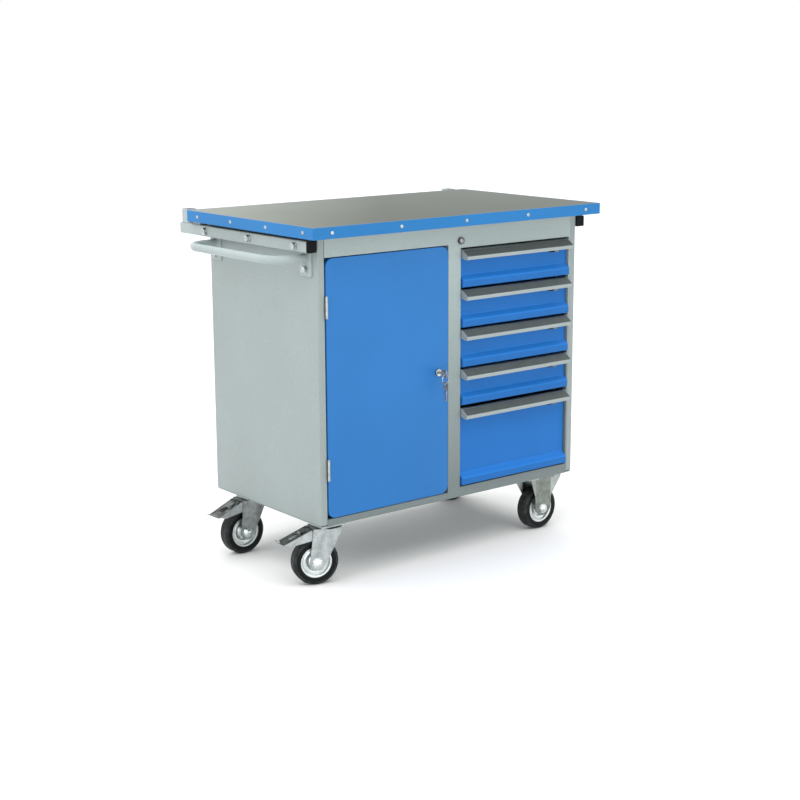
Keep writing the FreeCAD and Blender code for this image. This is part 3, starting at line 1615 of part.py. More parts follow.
def make_fixed_forks():
    """Pressed fixed bracket: a top plate and two legs whose wings flare outwards to its corners."""
    solids = []
    top = -base_drop
    x = right_caster_x
    mid = leg_outer - leg_sheet / 2
    hx, hy = fixed_plate_half
    strap = 30.0
    wing_low = -62.0
    path = [(-hx + 1, hy - leg_sheet), (-strap, mid), (strap, mid), (hx - 1, hy - leg_sheet)]
    outline = [
        (-hx + 2, -1.0),
        (hx - 2, -1.0),
        (hx - 3, -8.0),
        (strap + 1, wing_low),
        (strap - 1, -axle_drop - 2),
        (14, -axle_drop - 20),
        (-14, -axle_drop - 20),
        (-strap + 1, -axle_drop - 2),
        (-strap - 1, wing_low),
        (-hx + 3, -8.0),
    ]
    radii = [0, 0, 5.0, 12.0, 14.0, 12.0, 12.0, 14.0, 12.0, 5.0]
    for y in fixed_ys:
        legs = fork_legs(path, outline, radii, x, y, top)
        plate = profile(rectangle(x - hx, x + hx, y - hy, y + hy), "xy", top - caster_plate, top, 6.0)
        holes = [
            rod((hole_x, hole_y, top - caster_plate - 1), (0, 0, 1), caster_bolt_radius + hole_play, caster_plate + 2)
            for hole_x, hole_y in four_bolts(x, y, fixed_bolts)
        ]
        axle_hole = rod((x, y - past_legs, top - axle_drop), (0, 1, 0), axle_radius + 0.1, 2 * past_legs)
        solids += [cut(fuse(plate, *legs), axle_hole, *holes), axle_bolt(x, y, top - axle_drop)]
    save("fixed_forks", solids)


def make_casters():
    make_swivel_plates()
    make_fixed_forks()
    for place, y, turn in (
        ("front_left", swivel_ys[0], -front_left_turn),
        ("rear_left", swivel_ys[1], 0.0),
    ):
        make_swivel_fork("fork_" + place, left_caster_x, y, turn)
        make_brake_pedal("brake_pedal_" + place, left_caster_x, y, turn)
        make_wheel(place, left_caster_x - caster_trail, y, turn, left_caster_x)
    for place, y in (("front_right", fixed_ys[0]), ("rear_right", fixed_ys[1])):
        make_wheel(place, right_caster_x, y, 0.0, right_caster_x)


make_side_panels()
make_back_panel()
make_base_panel()
make_top_panel()
make_front_frame()
make_partition()
make_shelf()
make_worktop()
make_side_rails()
save("hex_bolts", side_bolts() + caster_bolts())
make_push_handle()
make_runner_rails()
make_drawers()
make_top_lock()
make_lock_bar()
make_door_panel()
make_hinges()
make_door_lock()
make_key_ring()
make_casters()
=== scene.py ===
import math
import random

import bmesh
import bpy
from mathutils import Matrix, Vector


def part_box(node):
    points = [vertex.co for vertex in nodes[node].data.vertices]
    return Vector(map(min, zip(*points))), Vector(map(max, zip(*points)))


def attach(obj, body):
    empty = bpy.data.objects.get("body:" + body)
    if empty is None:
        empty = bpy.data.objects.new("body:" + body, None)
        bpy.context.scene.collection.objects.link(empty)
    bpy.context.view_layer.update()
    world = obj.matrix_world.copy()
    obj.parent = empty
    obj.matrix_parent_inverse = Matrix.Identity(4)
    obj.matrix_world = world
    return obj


# Looks of the tool cart: paints and platings on the CAD's nodes, a few small welded and turned
# details, a white studio, and a camera at the photograph's angle.
# Everything is in metres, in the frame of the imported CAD.

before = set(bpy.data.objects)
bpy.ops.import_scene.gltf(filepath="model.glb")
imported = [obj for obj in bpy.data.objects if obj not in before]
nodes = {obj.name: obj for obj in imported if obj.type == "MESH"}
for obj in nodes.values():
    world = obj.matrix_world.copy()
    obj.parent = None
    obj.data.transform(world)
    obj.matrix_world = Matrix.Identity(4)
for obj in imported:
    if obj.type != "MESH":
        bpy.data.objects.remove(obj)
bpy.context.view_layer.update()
random.seed(7)

scene = bpy.context.scene
collection = scene.collection

SWIVEL_WHEELS = ("front_left", "rear_left")
FIXED_WHEELS = ("front_right", "rear_right")
DRAWERS = range(1, 6)


# ---------------------------------------------------------------- camera
# Fitted to the photograph: metres, radians, and millimetres of lens.
CAMERA_PLACE = (-2.7569, -3.5440, 1.3914)
CAMERA_AZIMUTH = 0.6708
CAMERA_PITCH = 0.2180
CAMERA_ROLL = 0.0043
CAMERA_LENS = 72.08
CAMERA_SENSOR = 36.0


def make_camera():
    data = bpy.data.cameras.new("camera")
    data.sensor_width = CAMERA_SENSOR
    data.lens = CAMERA_LENS
    camera = bpy.data.objects.new("camera", data)
    collection.objects.link(camera)
    sa, ca = math.sin(CAMERA_AZIMUTH), math.cos(CAMERA_AZIMUTH)
    sp, cp = math.sin(CAMERA_PITCH), math.cos(CAMERA_PITCH)
    forward = Vector((sa * cp, ca * cp, -sp))
    right = Vector((ca, -sa, 0))
    up = right.cross(forward)
    roll = Matrix.Rotation(CAMERA_ROLL, 3, forward)
    right, up = roll @ right, roll @ up
    turn = Matrix((right, up, -forward)).transposed()
    camera.matrix_world = Matrix.Translation(Vector(CAMERA_PLACE)) @ turn.to_4x4()
    scene.camera = camera


# ---------------------------------------------------------------- node trees
# How much of a noise's middle range a change of tone spreads over: the narrower, the crisper.
WIDE = (0.30, 0.70)
MEDIUM = (0.35, 0.65)
CRISP = (0.36, 0.64)


class Nodes:
    """A small helper around a node tree."""

    def __init__(self, tree):
        self.tree = tree

    def add(self, kind, **values):
        node = self.tree.nodes.new(kind)
        for key, value in values.items():
            setattr(node, key, value)
        return node

    def link(self, a, b):
        self.tree.links.new(a, b)

    def axes(self, place):
        """The three coordinates of a place, by name."""
        node = self.add("ShaderNodeSeparateXYZ")
        self.link(place, node.inputs["Vector"])
        return node.outputs

    def spread(self, value, low, high, to_low=0.0, to_high=1.0, smooth=False):
        """The value's range from low to high, carried over to to_low and to_high."""
        node = self.add("ShaderNodeMapRange", interpolation_type="SMOOTHSTEP" if smooth else "LINEAR")
        node.inputs["From Min"].default_value = low
        node.inputs["From Max"].default_value = high
        node.inputs["To Min"].default_value = to_low
        node.inputs["To Max"].default_value = to_high
        self.link(value, node.inputs["Value"])
        return node.outputs["Result"]

    def math(self, operation, *values):
        node = self.add("ShaderNodeMath", operation=operation)
        for socket, value in zip(node.inputs, values):
            if isinstance(value, (int, float)):
                socket.default_value = value
            else:
                self.link(value, socket)
        return node.outputs["Value"]


class Paint(Nodes):
    """The node tree of one material, around a single shader."""

    def __init__(self, name):
        self.material = bpy.data.materials.new(name)
        self.material.use_nodes = True
        super().__init__(self.material.node_tree)
        self.tree.nodes.clear()
        output = self.add("ShaderNodeOutputMaterial")
        self.shader = self.add("ShaderNodeBsdfPrincipled")
        self.link(self.shader.outputs["BSDF"], output.inputs["Surface"])
        self.place = self.add("ShaderNodeTexCoord").outputs["Object"]
        self.normal = None

    def set(self, **values):
        for key, value in values.items():
            self.shader.inputs[key.replace("_", " ")].default_value = value

    def stretched(self, scale):
        mapping = self.add("ShaderNodeMapping")
        mapping.inputs["Scale"].default_value = scale
        self.link(self.place, mapping.inputs["Vector"])
        return mapping.outputs["Vector"]

    def noise(self, scale, detail=2.0, rough=0.5, vector=None):
        node = self.add("ShaderNodeTexNoise")
        node.inputs["Scale"].default_value = scale
        node.inputs["Detail"].default_value = detail
        node.inputs["Roughness"].default_value = rough
        self.link(vector or self.place, node.inputs["Vector"])
        return node.outputs["Fac"]

    def cells(self, scale, vector):
        node = self.add("ShaderNodeTexVoronoi")
        node.inputs["Scale"].default_value = scale
        self.link(vector, node.inputs["Vector"])
        return node.outputs["Distance"]

    def mix(self, factor, a, b):
        node = self.add("ShaderNodeMix", data_type="RGBA")
        self.link(factor, node.inputs["Factor"])
        for socket, value in ((node.inputs["A"], a), (node.inputs["B"], b)):
            if isinstance(value, tuple):
                socket.default_value = (*value, 1.0)
            else:
                self.link(value, socket)
        return node.outputs["Result"]

    def darken(self, factor, colour, share):
        """The colour, multiplied by share where the factor is 1."""
        node = self.add("ShaderNodeMix", data_type="RGBA", blend_type="MULTIPLY")
        self.link(factor, node.inputs["Factor"])
        self.link(colour, node.inputs["A"])
        node.inputs["B"].default_value = (share, share, share, 1.0)
        return node.outputs["Result"]

    def bump(self, height, strength, distance):
        """Relief, laid over whatever relief there is already."""
        node = self.add("ShaderNodeBump")
        node.inputs["Strength"].default_value = strength
        node.inputs["Distance"].default_value = distance
        self.link(height, node.inputs["Height"])
        if self.normal:
            self.link(self.normal, node.inputs["Normal"])
        self.normal = node.outputs["Normal"]

    def finish(self, colour, roughness):
        self.link(colour, self.shader.inputs["Base Color"])
        self.link(roughness, self.shader.inputs["Roughness"])
        if self.normal:
            self.link(self.normal, self.shader.inputs["Normal"])
        return self.material


def shade(colour, factor):
    return tuple(min(1.0, part * factor) for part in colour)


# ---------------------------------------------------------------- kinds of material
# Noise scales are per metre: 1000 gives grains of about 1 mm. Every rough is (smoothest, roughest).
SHEEN_START_X = -0.50  # X where the worktop's painted sheen, a painted reflection that makes it paler, begins at its palest
SHEEN_END_X = 0.06  # X where that painted sheen has faded out
EDGE_SOFTNESS = 0.0006


def powder_coat(name, colour, rough=(0.34, 0.46), peel=0.10, gloss=0.28, speckle=0.05, rise=None):
    """Powder coat: fine orange peel, slow drifts of tone, a fine speckle and a trace of dust.

    rise = (low height, high height, low factor, high factor) for painted shade and light: the paint is
    painted darker near the floor and lighter up high.
    """
    t = Paint(name)
    drift = t.spread(t.noise(3.5, 3.0), *MEDIUM)
    # Painted shade and light: with rise, the tone runs from darker low down to lighter high up.
    if rise:
        low_height, high_height, low_factor, high_factor = rise
        height = t.spread(t.axes(t.place)["Z"], low_height, high_height)
        tone = t.mix(height, shade(colour, low_factor), shade(colour, high_factor))
        tone = t.darken(drift, tone, 0.96)
    else:
        tone = t.mix(drift, shade(colour, 0.965), shade(colour, 1.03))
    tone = t.darken(t.spread(t.noise(380.0, 2.0, 0.6), 0.38, 0.62), tone, 1.0 - 2.0 * speckle)
    dust = t.spread(t.noise(1100.0, 2.0), 0.62, 0.80, 0.0, 0.06)
    tone = t.mix(dust, tone, shade(colour, 1.6))
    t.bump(t.noise(330.0, 2.0, 0.45), peel, 0.0006)
    t.bump(t.noise(24.0, 2.0), 0.04, 0.004)
    t.set(Specular_IOR_Level=gloss, Coat_Weight=0.03, Coat_Roughness=0.25)
    return t.finish(tone, t.spread(t.noise(60.0, 3.0), *WIDE, *rough))


def worktop_steel(name, lines_tones, cloud_tone, painted_sheen_tone, grazing_tint):
    """Cold rolled sheet, smooth enough to mirror, with faint lengthwise rolling lines, storage clouds, and a
    painted reflection that makes its left end paler.
    """
    t = Paint(name)
    lines = t.noise(1.0, 5.0, 0.6, t.stretched((4.0, 700.0, 700.0)))
    cloud = t.noise(2.2, 4.0, 0.55)
    tone = t.mix(t.spread(lines, *MEDIUM), *lines_tones)
    tone = t.mix(t.spread(cloud, 0.40, 0.66, 0.0, 0.5), tone, cloud_tone)
    # Painted reflection: the sheet is painted paler towards its left end.
    sheen_share = t.spread(t.axes(t.place)["X"], SHEEN_START_X, SHEEN_END_X, 0.95, 0.0)
    tone = t.mix(sheen_share, tone, painted_sheen_tone)
    t.bump(lines, 0.03, 0.0001)
    t.bump(t.noise(7.0, 2.0), 0.02, 0.006)
    t.set(Metallic=1.0, Specular_Tint=(*grazing_tint, 1.0))
    return t.finish(tone, t.spread(cloud, *WIDE, 0.07, 0.13))


def zinc_plate(name, tones, rough=(0.26, 0.40), relief=0.12, size=42.0):
    """Zinc plating: a blotchy sheen with fine pitting and darker streaks; tones = (dark, light)."""
    t = Paint(name)
    blotch = t.noise(size, 4.0, 0.6)
    grain = t.noise(700.0, 2.0)
    tone = t.mix(t.spread(blotch, *CRISP), *tones)
    tone = t.mix(t.spread(grain, 0.60, 0.75, 0.0, 0.2), tone, shade(tones[0], 0.7))
    t.bump(grain, 0.08, 0.0002)
    t.bump(t.noise(90.0, 2.0), relief, 0.0008)
    t.set(Metallic=1.0)
    return t.finish(tone, t.spread(blotch, *WIDE, *rough))


def bracket_zinc_painted_shade(name, strap_shade_tones, wing_tones, middle, half):
    """Zinc on the fixed forks: the flat strap over the axle is painted darker than the wings beside it,
    painted shade for the turn between them.

    The strap reaches half to either side of the X called middle.
    """
    t = Paint(name)
    blotch = t.noise(70.0, 4.0, 0.6)
    strap = t.mix(t.spread(blotch, *CRISP), *strap_shade_tones)
    wing = t.mix(t.spread(blotch, *CRISP), *wing_tones)
    away = t.math("ABSOLUTE", t.math("SUBTRACT", t.axes(t.place)["X"], middle))
    # Painted shade: within half of middle the strap takes the darker tones.
    tone = t.mix(t.spread(away, half - EDGE_SOFTNESS, half + EDGE_SOFTNESS), strap, wing)
    t.bump(t.noise(90.0, 2.0), 0.05, 0.0008)
    t.set(Metallic=1.0)
    return t.finish(tone, t.spread(blotch, *WIDE, 0.30, 0.42))


def chrome(name, tones):
    """Polished plating with fine scuffs."""
    t = Paint(name)
    scuff = t.noise(160.0, 4.0, 0.6)
    tone = t.mix(t.spread(scuff, 0.4, 0.6), *tones)
    t.bump(t.noise(900.0, 2.0), 0.03, 0.0002)
    t.set(Metallic=1.0)
    return t.finish(tone, t.spread(scuff, *WIDE, 0.07, 0.20))


def nickel(name, tones):
    """Tumbled nickel on stamped keys: half matt, with rubbed bright spots."""
    t = Paint(name)
    rub = t.noise(240.0, 4.0, 0.6)
    tone = t.mix(t.spread(rub, 0.38, 0.62), *tones)
    t.bump(t.noise(800.0, 2.0), 0.05, 0.0002)
    t.set(Metallic=0.55)
    return t.finish(tone, t.spread(rub, *WIDE, 0.30, 0.46))


def anodised(name, colour):
    """Satin anodised extrusion: fine draw lines along the profile."""
    t = Paint(name)
    lines = t.noise(1.0, 4.0, 0.6, t.stretched((4.0, 1400.0, 1400.0)))
    tone = t.mix(t.spread(lines, *MEDIUM), shade(colour, 0.90), shade(colour, 1.08))
    t.bump(lines, 0.08, 0.0002)
    t.set(Metallic=0.85, Anisotropic=0.4)
    return t.finish(tone, t.spread(t.noise(45.0, 3.0), *WIDE, 0.32, 0.44))


def moulded(name, colour, rough=(0.42, 0.58), grain=650.0, relief=0.16, gloss=0.3):
    """Moulded plastic with a fine spark-eroded grain."""
    t = Paint(name)
    tone = t.mix(t.spread(t.noise(30.0, 2.0), *WIDE), shade(colour, 0.94), shade(colour, 1.07))
    t.bump(t.noise(grain, 3.0, 0.6), relief, 0.0004)
    t.set(Specular_IOR_Level=gloss)
    return t.finish(tone, t.spread(t.noise(120.0, 3.0), *WIDE, *rough))


def tyre_rubber(name, black, dust_tone, dusty):
    """Solid rubber, near black; a running tread is scuffed paler and duller than the side walls."""
    t = Paint(name)
    dust = t.noise(70.0, 4.0, 0.6)
    tone = t.mix(t.spread(dust, 0.40, 0.75, 0.25 * dusty, dusty), black, dust_tone)
    t.bump(t.noise(420.0, 3.0), 0.15, 0.0004)
    t.set(Specular_IOR_Level=0.13)
    rough = 0.36 + 0.14 * dusty
    return t.finish(tone, t.spread(dust, *WIDE, rough, rough + 0.14))


def core_board(name, chip_tones, speck_tone):
    """Film faced board: a dark brown sealed skin over pressed chips."""
    t = Paint(name)
    chip = t.cells(220.0, t.stretched((1.0, 1.0, 2.5)))
    tone = t.mix(t.spread(chip, 0.0, 0.8), *chip_tones)
    tone = t.mix(t.spread(t.noise(500.0, 3.0), 0.5, 0.7, 0.0, 0.5), tone, speck_tone)
    t.bump(chip, 0.15, 0.0004)
    return t.finish(tone, t.spread(t.noise(200.0), *WIDE, 0.5, 0.65))


def studio_paper(name):
    """Pale floor paper, which stays white where it runs on beyond the lamps."""
    t = Paint(name)
    tone = t.mix(t.noise(0.6, 2.0), (0.83, 0.83, 0.83), (0.85, 0.85, 0.85))
    t.set(Specular_IOR_Level=0.1, Emission_Color=(1.0, 1.0, 1.0, 1.0))
    away = t.add("ShaderNodeVectorMath", operation="LENGTH")
    t.link(t.place, away.inputs[0])
    t.link(t.spread(away.outputs["Value"], 2.0, 5.0, 0.0, 0.36), t.shader.inputs["Emission Strength"])
    return t.finish(tone, t.spread(t.noise(8.0), *WIDE, 0.75, 0.85))


# ---------------------------------------------------------------- the cart's materials
# Colours are linear RGB. A pair is the darker and the lighter tone of one finish.
GREY = (0.288, 0.336, 0.334)
FRAME_GREY = (0.238, 0.287, 0.286)
# Painted shade and light on the front frame: darker near the floor, lighter up at the fascia under the
# worktop.
FRAME_PAINTED_SHADE_RISE = (0.20, 0.88, 0.74, 1.54)
DOOR_BLUE = (0.013, 0.153, 0.440)
DRAWER_BLUE = (0.016, 0.152, 0.480)
BAND_BLUE = (0.017, 0.166, 0.425)

STEEL_LINES = (0.300, 0.317, 0.293), (0.350, 0.369, 0.342)
STEEL_CLOUD = (0.268, 0.284, 0.262)
# the painted reflection on the worktop's left end
STEEL_PAINTED_SHEEN = (0.430, 0.455, 0.420)
STEEL_GRAZING = (0.275, 0.308, 0.268)

ZINC = (0.30, 0.325, 0.325), (0.42, 0.45, 0.45)
SHADED_ZINC = (0.22, 0.245, 0.24), (0.36, 0.385, 0.38)
# painted shade on the fixed forks' strap, darker than the wings
STRAP_ZINC_PAINTED_SHADE = (0.150, 0.168, 0.148), (0.220, 0.246, 0.224)
WING_ZINC = (0.27, 0.295, 0.288), (0.36, 0.385, 0.378)
PEDAL_ZINC = (0.012, 0.014, 0.013), (0.135, 0.150, 0.142)
RIM_ZINC = (0.55, 0.59, 0.585), (0.67, 0.71, 0.705)
BOLT_ZINC = (0.26, 0.30, 0.30), (0.66, 0.70, 0.70)
RIVET_ALUMINIUM = (0.30, 0.34, 0.35), (0.42, 0.47, 0.48)
LOCK_CHROME = (0.30, 0.31, 0.29), (0.62, 0.63, 0.61)
DARK_CHROME = (0.075, 0.080, 0.085), (0.13, 0.135, 0.14)
KEY_NICKEL = (0.17, 0.17, 0.16), (0.42, 0.42, 0.41)
GRIP_ALUMINIUM = (0.285, 0.328, 0.328)

GRIP_END_GREY = (0.27, 0.32, 0.35)
LABEL_GREY = (0.080, 0.093, 0.091)
NUB_GREY = (0.16, 0.17, 0.17)
CAP_BLACK = (0.0036, 0.0044, 0.0054)
TYRE_BLACK = (0.0030, 0.0036, 0.0044)
TYRE_DUST = (0.046, 0.053, 0.048)
BOARD_CHIPS = (0.034, 0.028, 0.024), (0.052, 0.043, 0.036)
BOARD_SPECKS = (0.022, 0.018, 0.015)

# the painted shade on the fixed forks' strap reaches this far either side of the wheel's middle
STRAP_HALF_WIDTH = 0.0295


def wheel_middle(place):
    low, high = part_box("rim_" + place)
    return (Vector(low) + Vector(high)) / 2


def make_materials():
    strap_x = wheel_middle("front_right").x
    drawer_finish = {"gloss": 0.12, "speckle": 0.02}
    return {
        "grey": powder_coat("grey_powder_coat", GREY),
        # Painted light: the rails, the handle and their welds take the panels' grey made lighter.
        "rail": powder_coat("rail_coat_painted_lighter", shade(GREY, 1.17)),
        # the front frame's paint carries painted shade, darker low down and lighter high up
        "frame": powder_coat("frame_coat_painted_shade", FRAME_GREY, rise=FRAME_PAINTED_SHADE_RISE),
        "inner": powder_coat("inner_powder_coat", FRAME_GREY),
        "door": powder_coat("door_powder_coat", DOOR_BLUE, speckle=0.02),
        "drawer": powder_coat("drawer_powder_coat", DRAWER_BLUE, **drawer_finish),
        # Painted light on the drawer fronts' slopes and painted shade on their lips: lighter and darker
        # copies of the drawers' blue.
        "slope": powder_coat("slope_coat_painted_lighter", shade(DRAWER_BLUE, 1.20), **drawer_finish),
        "lip": powder_coat("lip_coat_painted_darker", shade(DRAWER_BLUE, 0.90), **drawer_finish),
        "band": powder_coat("band_powder_coat", BAND_BLUE, (0.30, 0.42), 0.05, 0.18, 0.02),
        "steel": worktop_steel("worktop_steel", STEEL_LINES, STEEL_CLOUD, STEEL_PAINTED_SHEEN, STEEL_GRAZING),
        "zinc": zinc_plate("zinc_plate", ZINC, (0.30, 0.42), 0.05, 70.0),
        "bracket": bracket_zinc_painted_shade("bracket_zinc_painted_shade", STRAP_ZINC_PAINTED_SHADE, WING_ZINC, strap_x, STRAP_HALF_WIDTH),
        "pedal": zinc_plate("pedal_zinc", PEDAL_ZINC, (0.05, 0.18), 0.10, 60.0),
        "shaded_zinc": zinc_plate("shaded_zinc", SHADED_ZINC, (0.26, 0.40), 0.05, 60.0),
        "rim": zinc_plate("rim_zinc", RIM_ZINC, (0.30, 0.40), 0.0, 25.0),
        "rivet": zinc_plate("rivet_aluminium", RIVET_ALUMINIUM),
        "bolt": zinc_plate("bolt_zinc", BOLT_ZINC, (0.10, 0.22), 0.06, 160.0),
        "chrome": chrome("lock_chrome", LOCK_CHROME),
        "nickel": nickel("key_nickel", KEY_NICKEL),
        "dark_chrome": chrome("dark_lock_chrome", DARK_CHROME),
        "grip": anodised("grip_anodised", GRIP_ALUMINIUM),
        "grip_end": moulded("grip_end_plastic", GRIP_END_GREY),
        "label": moulded("label_strip", LABEL_GREY, (0.46, 0.56), 300.0, 0.0, 0.2),
        "black": moulded("black_plastic", CAP_BLACK, gloss=0.08),
        "nub": moulded("nub_plastic", NUB_GREY),
        "tyre": tyre_rubber("tyre_rubber", TYRE_BLACK, TYRE_DUST, 0.06),
        "tread": tyre_rubber("tread_rubber", TYRE_BLACK, TYRE_DUST, 1.0),
        "board": core_board("core_board", BOARD_CHIPS, BOARD_SPECKS),
    }


materials = make_materials()


# ---------------------------------------------------------------- painting the CAD's nodes
# Nodes of one material each.
PLAIN_PAINT = {
    "grey": ("side_panel_left", "side_panel_right", "back_panel"),
    # the rails and handle are painted lighter than the panels, as painted light
    "rail": ("side_rails", "push_handle"),
    "frame": ("front_frame",),
    "inner": ("base_panel", "top_panel", "partition_panel", "shelf"),
    "door": ("door_panel",),
    "band": ("worktop_band",),
    "board": ("worktop_core",),
    "steel": ("worktop_sheet",),
    "rivet": ("band_rivets",),
    "black": ("rail_caps",),
    "zinc": ("runner_rails", "swivel_plates", "lock_bar", "hinge_frame_leaves", "hinge_door_leaves"),
    "bolt": ("hex_bolts",),
    "dark_chrome": ("top_lock_housing",),
    "chrome": ("top_lock_plug", "door_lock_housing"),
    "rim": tuple("rim_" + place for place in SWIVEL_WHEELS + FIXED_WHEELS),
}

TREAD_SHARE = 0.93  # the tread lies beyond this share of the wheel's radius
KEY_THICKNESS = 0.004  # keys are thinner than this along X, the ring and plug are thicker
AXLE_TOP = 0.09  # axles lie wholly below this height, the forks' other solids don't
PEDAL_EDGE = 0.003  # a pedal's outer sides lie within this of its flanks
LIP_DEPTH = 0.001  # a drawer front's lip lies within this of its foremost plane
BAR_WIDTH = 0.02  # a drawer's slide bars are narrower than this
BAR_LENGTH = 0.3  # and longer than this
PIN_LENGTH = 0.06  # a catch's pin is shorter than this
PIN_DEPTH = 0.01  # and begins within this of the front of the drawer box's node
CAP_THICKNESS = 0.01  # a grip's end caps are thinner than this
LABEL_HEIGHT = 0.020  # and its label strip is lower than this
NUB_WIDTH = 0.02  # a catch's nub is narrower than this


def paint(name, *keys):
    """Give a CAD node its materials; the first covers it all."""
    mesh = nodes[name].data
    mesh.materials.clear()
    for key in keys:
        mesh.materials.append(materials[key])
    for polygon in mesh.polygons:
        polygon.material_index = 0


def islands(mesh):
    """Connected groups of faces of a mesh, each with the corners of its box."""
    parent = list(range(len(mesh.vertices)))

    def root(i):
        while parent[i] != i:
            parent[i] = parent[parent[i]]
            i = parent[i]
        return i

    places = {}
    for i, vertex in enumerate(mesh.vertices):
        key = tuple(round(c, 6) for c in vertex.co)
        if key in places:
            parent[root(i)] = root(places[key])
        else:
            places[key] = i
    for polygon in mesh.polygons:
        first = root(polygon.vertices[0])
        for v in polygon.vertices[1:]:
            parent[root(v)] = first
    groups = {}
    for polygon in mesh.polygons:
        groups.setdefault(root(polygon.vertices[0]), []).append(polygon)
    result = []
    for faces in groups.values():
        corners = [mesh.vertices[v].co for face in faces for v in face.vertices]
        low = Vector([min(c[k] for c in corners) for k in range(3)])
        high = Vector([max(c[k] for c in corners) for k in range(3)])
        result.append((faces, low, high))
    return result


def repaint_islands(name, choose):
    """Give each solid of a painted node the material whose number choose(low, high) gives."""
    for faces, low, high in islands(nodes[name].data):
        index = choose(low, high)
        for face in faces:
            face.material_index = index


def axle_direction(place):
    """The direction of a wheel's axle, along which its rim is narrowest."""
    points = [vertex.co for vertex in nodes["rim_" + place].data.vertices]
    best = None
    for step in range(180):
        angle = math.radians(step)
        direction = Vector((math.cos(angle), math.sin(angle), 0))
        reach = [point.dot(direction) for point in points]
        width = max(reach) - min(reach)
        if best is None or width < best[0]:
            best = (width, direction)
    return best[1]


def paint_tyre(name):
    """Side walls and, where a face is furthest from the axle, the scuffed tread."""
    paint(name, "tyre", "tread")
    obj = nodes[name]
    low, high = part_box(name)
    centre = (Vector(low) + Vector(high)) / 2
    radius = (high[2] - low[2]) / 2
    for polygon in obj.data.polygons:
        out = obj.matrix_world @ polygon.center - centre
        if out.length > TREAD_SHARE * radius:
            polygon.material_index = 1


def paint_locks():
    """The keys are nickel; the ring and the plugs are chrome."""
    for name in ("key_ring", "door_lock_plug"):
        paint(name, "chrome", "nickel")
        repaint_islands(name, lambda low, high: 1 if high.x - low.x < KEY_THICKNESS else 0)


def paint_casters():
    """Forks with brighter axles, and pedals whose flanks are paler than their tread."""
    for place in SWIVEL_WHEELS + FIXED_WHEELS:
        paint_tyre("tyre_" + place)
    forks = {"fixed_forks": "bracket", "fork_front_left": "zinc", "fork_rear_left": "shaded_zinc"}
    for name, key in forks.items():
        paint(name, key, "rim")
        repaint_islands(name, lambda low, high: 1 if high.z < AXLE_TOP else 0)
    for place in SWIVEL_WHEELS:
        name = "brake_pedal_" + place
        paint(name, "pedal", "zinc")
        axis = axle_direction(place)
        polygons = nodes[name].data.polygons
        across = [polygon.center.dot(axis) for polygon in polygons]
        low, high = min(across), max(across)
        for polygon, reach in zip(polygons, across):
            sideways = abs(polygon.normal.dot(axis)) > 0.8
            if sideways and min(reach - low, high - reach) < PEDAL_EDGE:
                polygon.material_index = 1


def paint_drawer_front(number):
    """The pan slopes out below the grip and ends in an upright lip; the slope carries painted light, a
    lighter copy of the blue, and the lip painted shade, a darker one.
    """
    name = "drawer_front_%d" % number
    paint(name, "drawer", "slope", "lip")
    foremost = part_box(name)[0][1]
    for polygon in nodes[name].data.polygons:
        slopes_forward = polygon.normal.y < -0.3 and polygon.normal.z > 0.2
        faces_front = polygon.normal.y < -0.9
        # the slope gets the painted light, the lip the painted shade
        if slopes_forward:
            polygon.material_index = 1
        elif faces_front and polygon.center.y < foremost + LIP_DEPTH:
            polygon.material_index = 2


def paint_drawer_box(number):
    """Painted tray, zinc plated slide bars, and the catch's black pin with its ears."""
    name = "drawer_box_%d" % number
    paint(name, "inner", "zinc", "black")
    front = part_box(name)[0][1]

    def choose(low, high):
        size = high - low
        if size.x < BAR_WIDTH and size.y > BAR_LENGTH:
            return 1
        return 2 if low.y < front + PIN_DEPTH and size.x < PIN_LENGTH else 0

    repaint_islands(name, choose)


def paint_grip(number):
    """Extrusion, with plastic end caps and the flat label strip."""
    name = "grip_%d" % number
    paint(name, "grip", "grip_end", "label")

    def choose(low, high):
        size = high - low
        if size.x < CAP_THICKNESS:
            return 1
        return 2 if size.z < LABEL_HEIGHT else 0

    repaint_islands(name, choose)


def paint_catch(number):
    """A black paddle with a grey nub."""
    name = "catch_%d" % number
    paint(name, "black", "nub")
    repaint_islands(name, lambda low, high: 1 if high.x - low.x < NUB_WIDTH else 0)


def paint_nodes():
    for key, names in PLAIN_PAINT.items():
        for name in names:
            paint(name, key)
    paint_locks()
    paint_casters()
    for number in DRAWERS:
        paint_drawer_front(number)
        paint_drawer_box(number)
        paint_grip(number)
        paint_catch(number)


# ---------------------------------------------------------------- small pieces
BEAD_WIDTH = 0.0030
BEAD_FLATNESS = 0.82  # height of a bead's round over its width
BEAD_SINK = 0.0003  # how far a bead reaches into the metal that it joins
BEAD_ARC_STEPS = 6  # facets across a bead
BEAD_TIP = 0.55  # width of an open bead's two ends over its middle's
RIPPLE = 0.14  # how far the width swells and shrinks from one ripple to the next
RIPPLE_STEPS = 4.0  # rows of a bead's path in one of its ripples
UNEVEN = 0.07  # how far it strays at random
HANDLE_BEAD_STEPS = 72
SOCKET_BEAD_STEPS = 28
SOCKET_BEAD_INSET = 0.003
PLATE_THICKNESS = 0.01  # the handle's plates are thinner than this, its tube is wider
SOCKET_HEIGHT = 0.03  # an upright socket is at least this tall
SOCKET_DEPTH = 0.1  # and at most this deep
SOCKET_TOP = 0.93  # and reaches above this height

WASHER_STEPS = 48
WASHER_PROFILE = (  # radius, and height above the fork's leg
    (0.0095, 0.0),
    (0.0146, 0.0),
    (0.0146, 0.0009),
    (0.0138, 0.0014),
    (0.0095, 0.0014),
)
AXLE_SEAT = 0.024  # a fork's leg is flat within this of its axle
LEG_RISE = 0.06  # a fork's legs reach at least this far above the axle


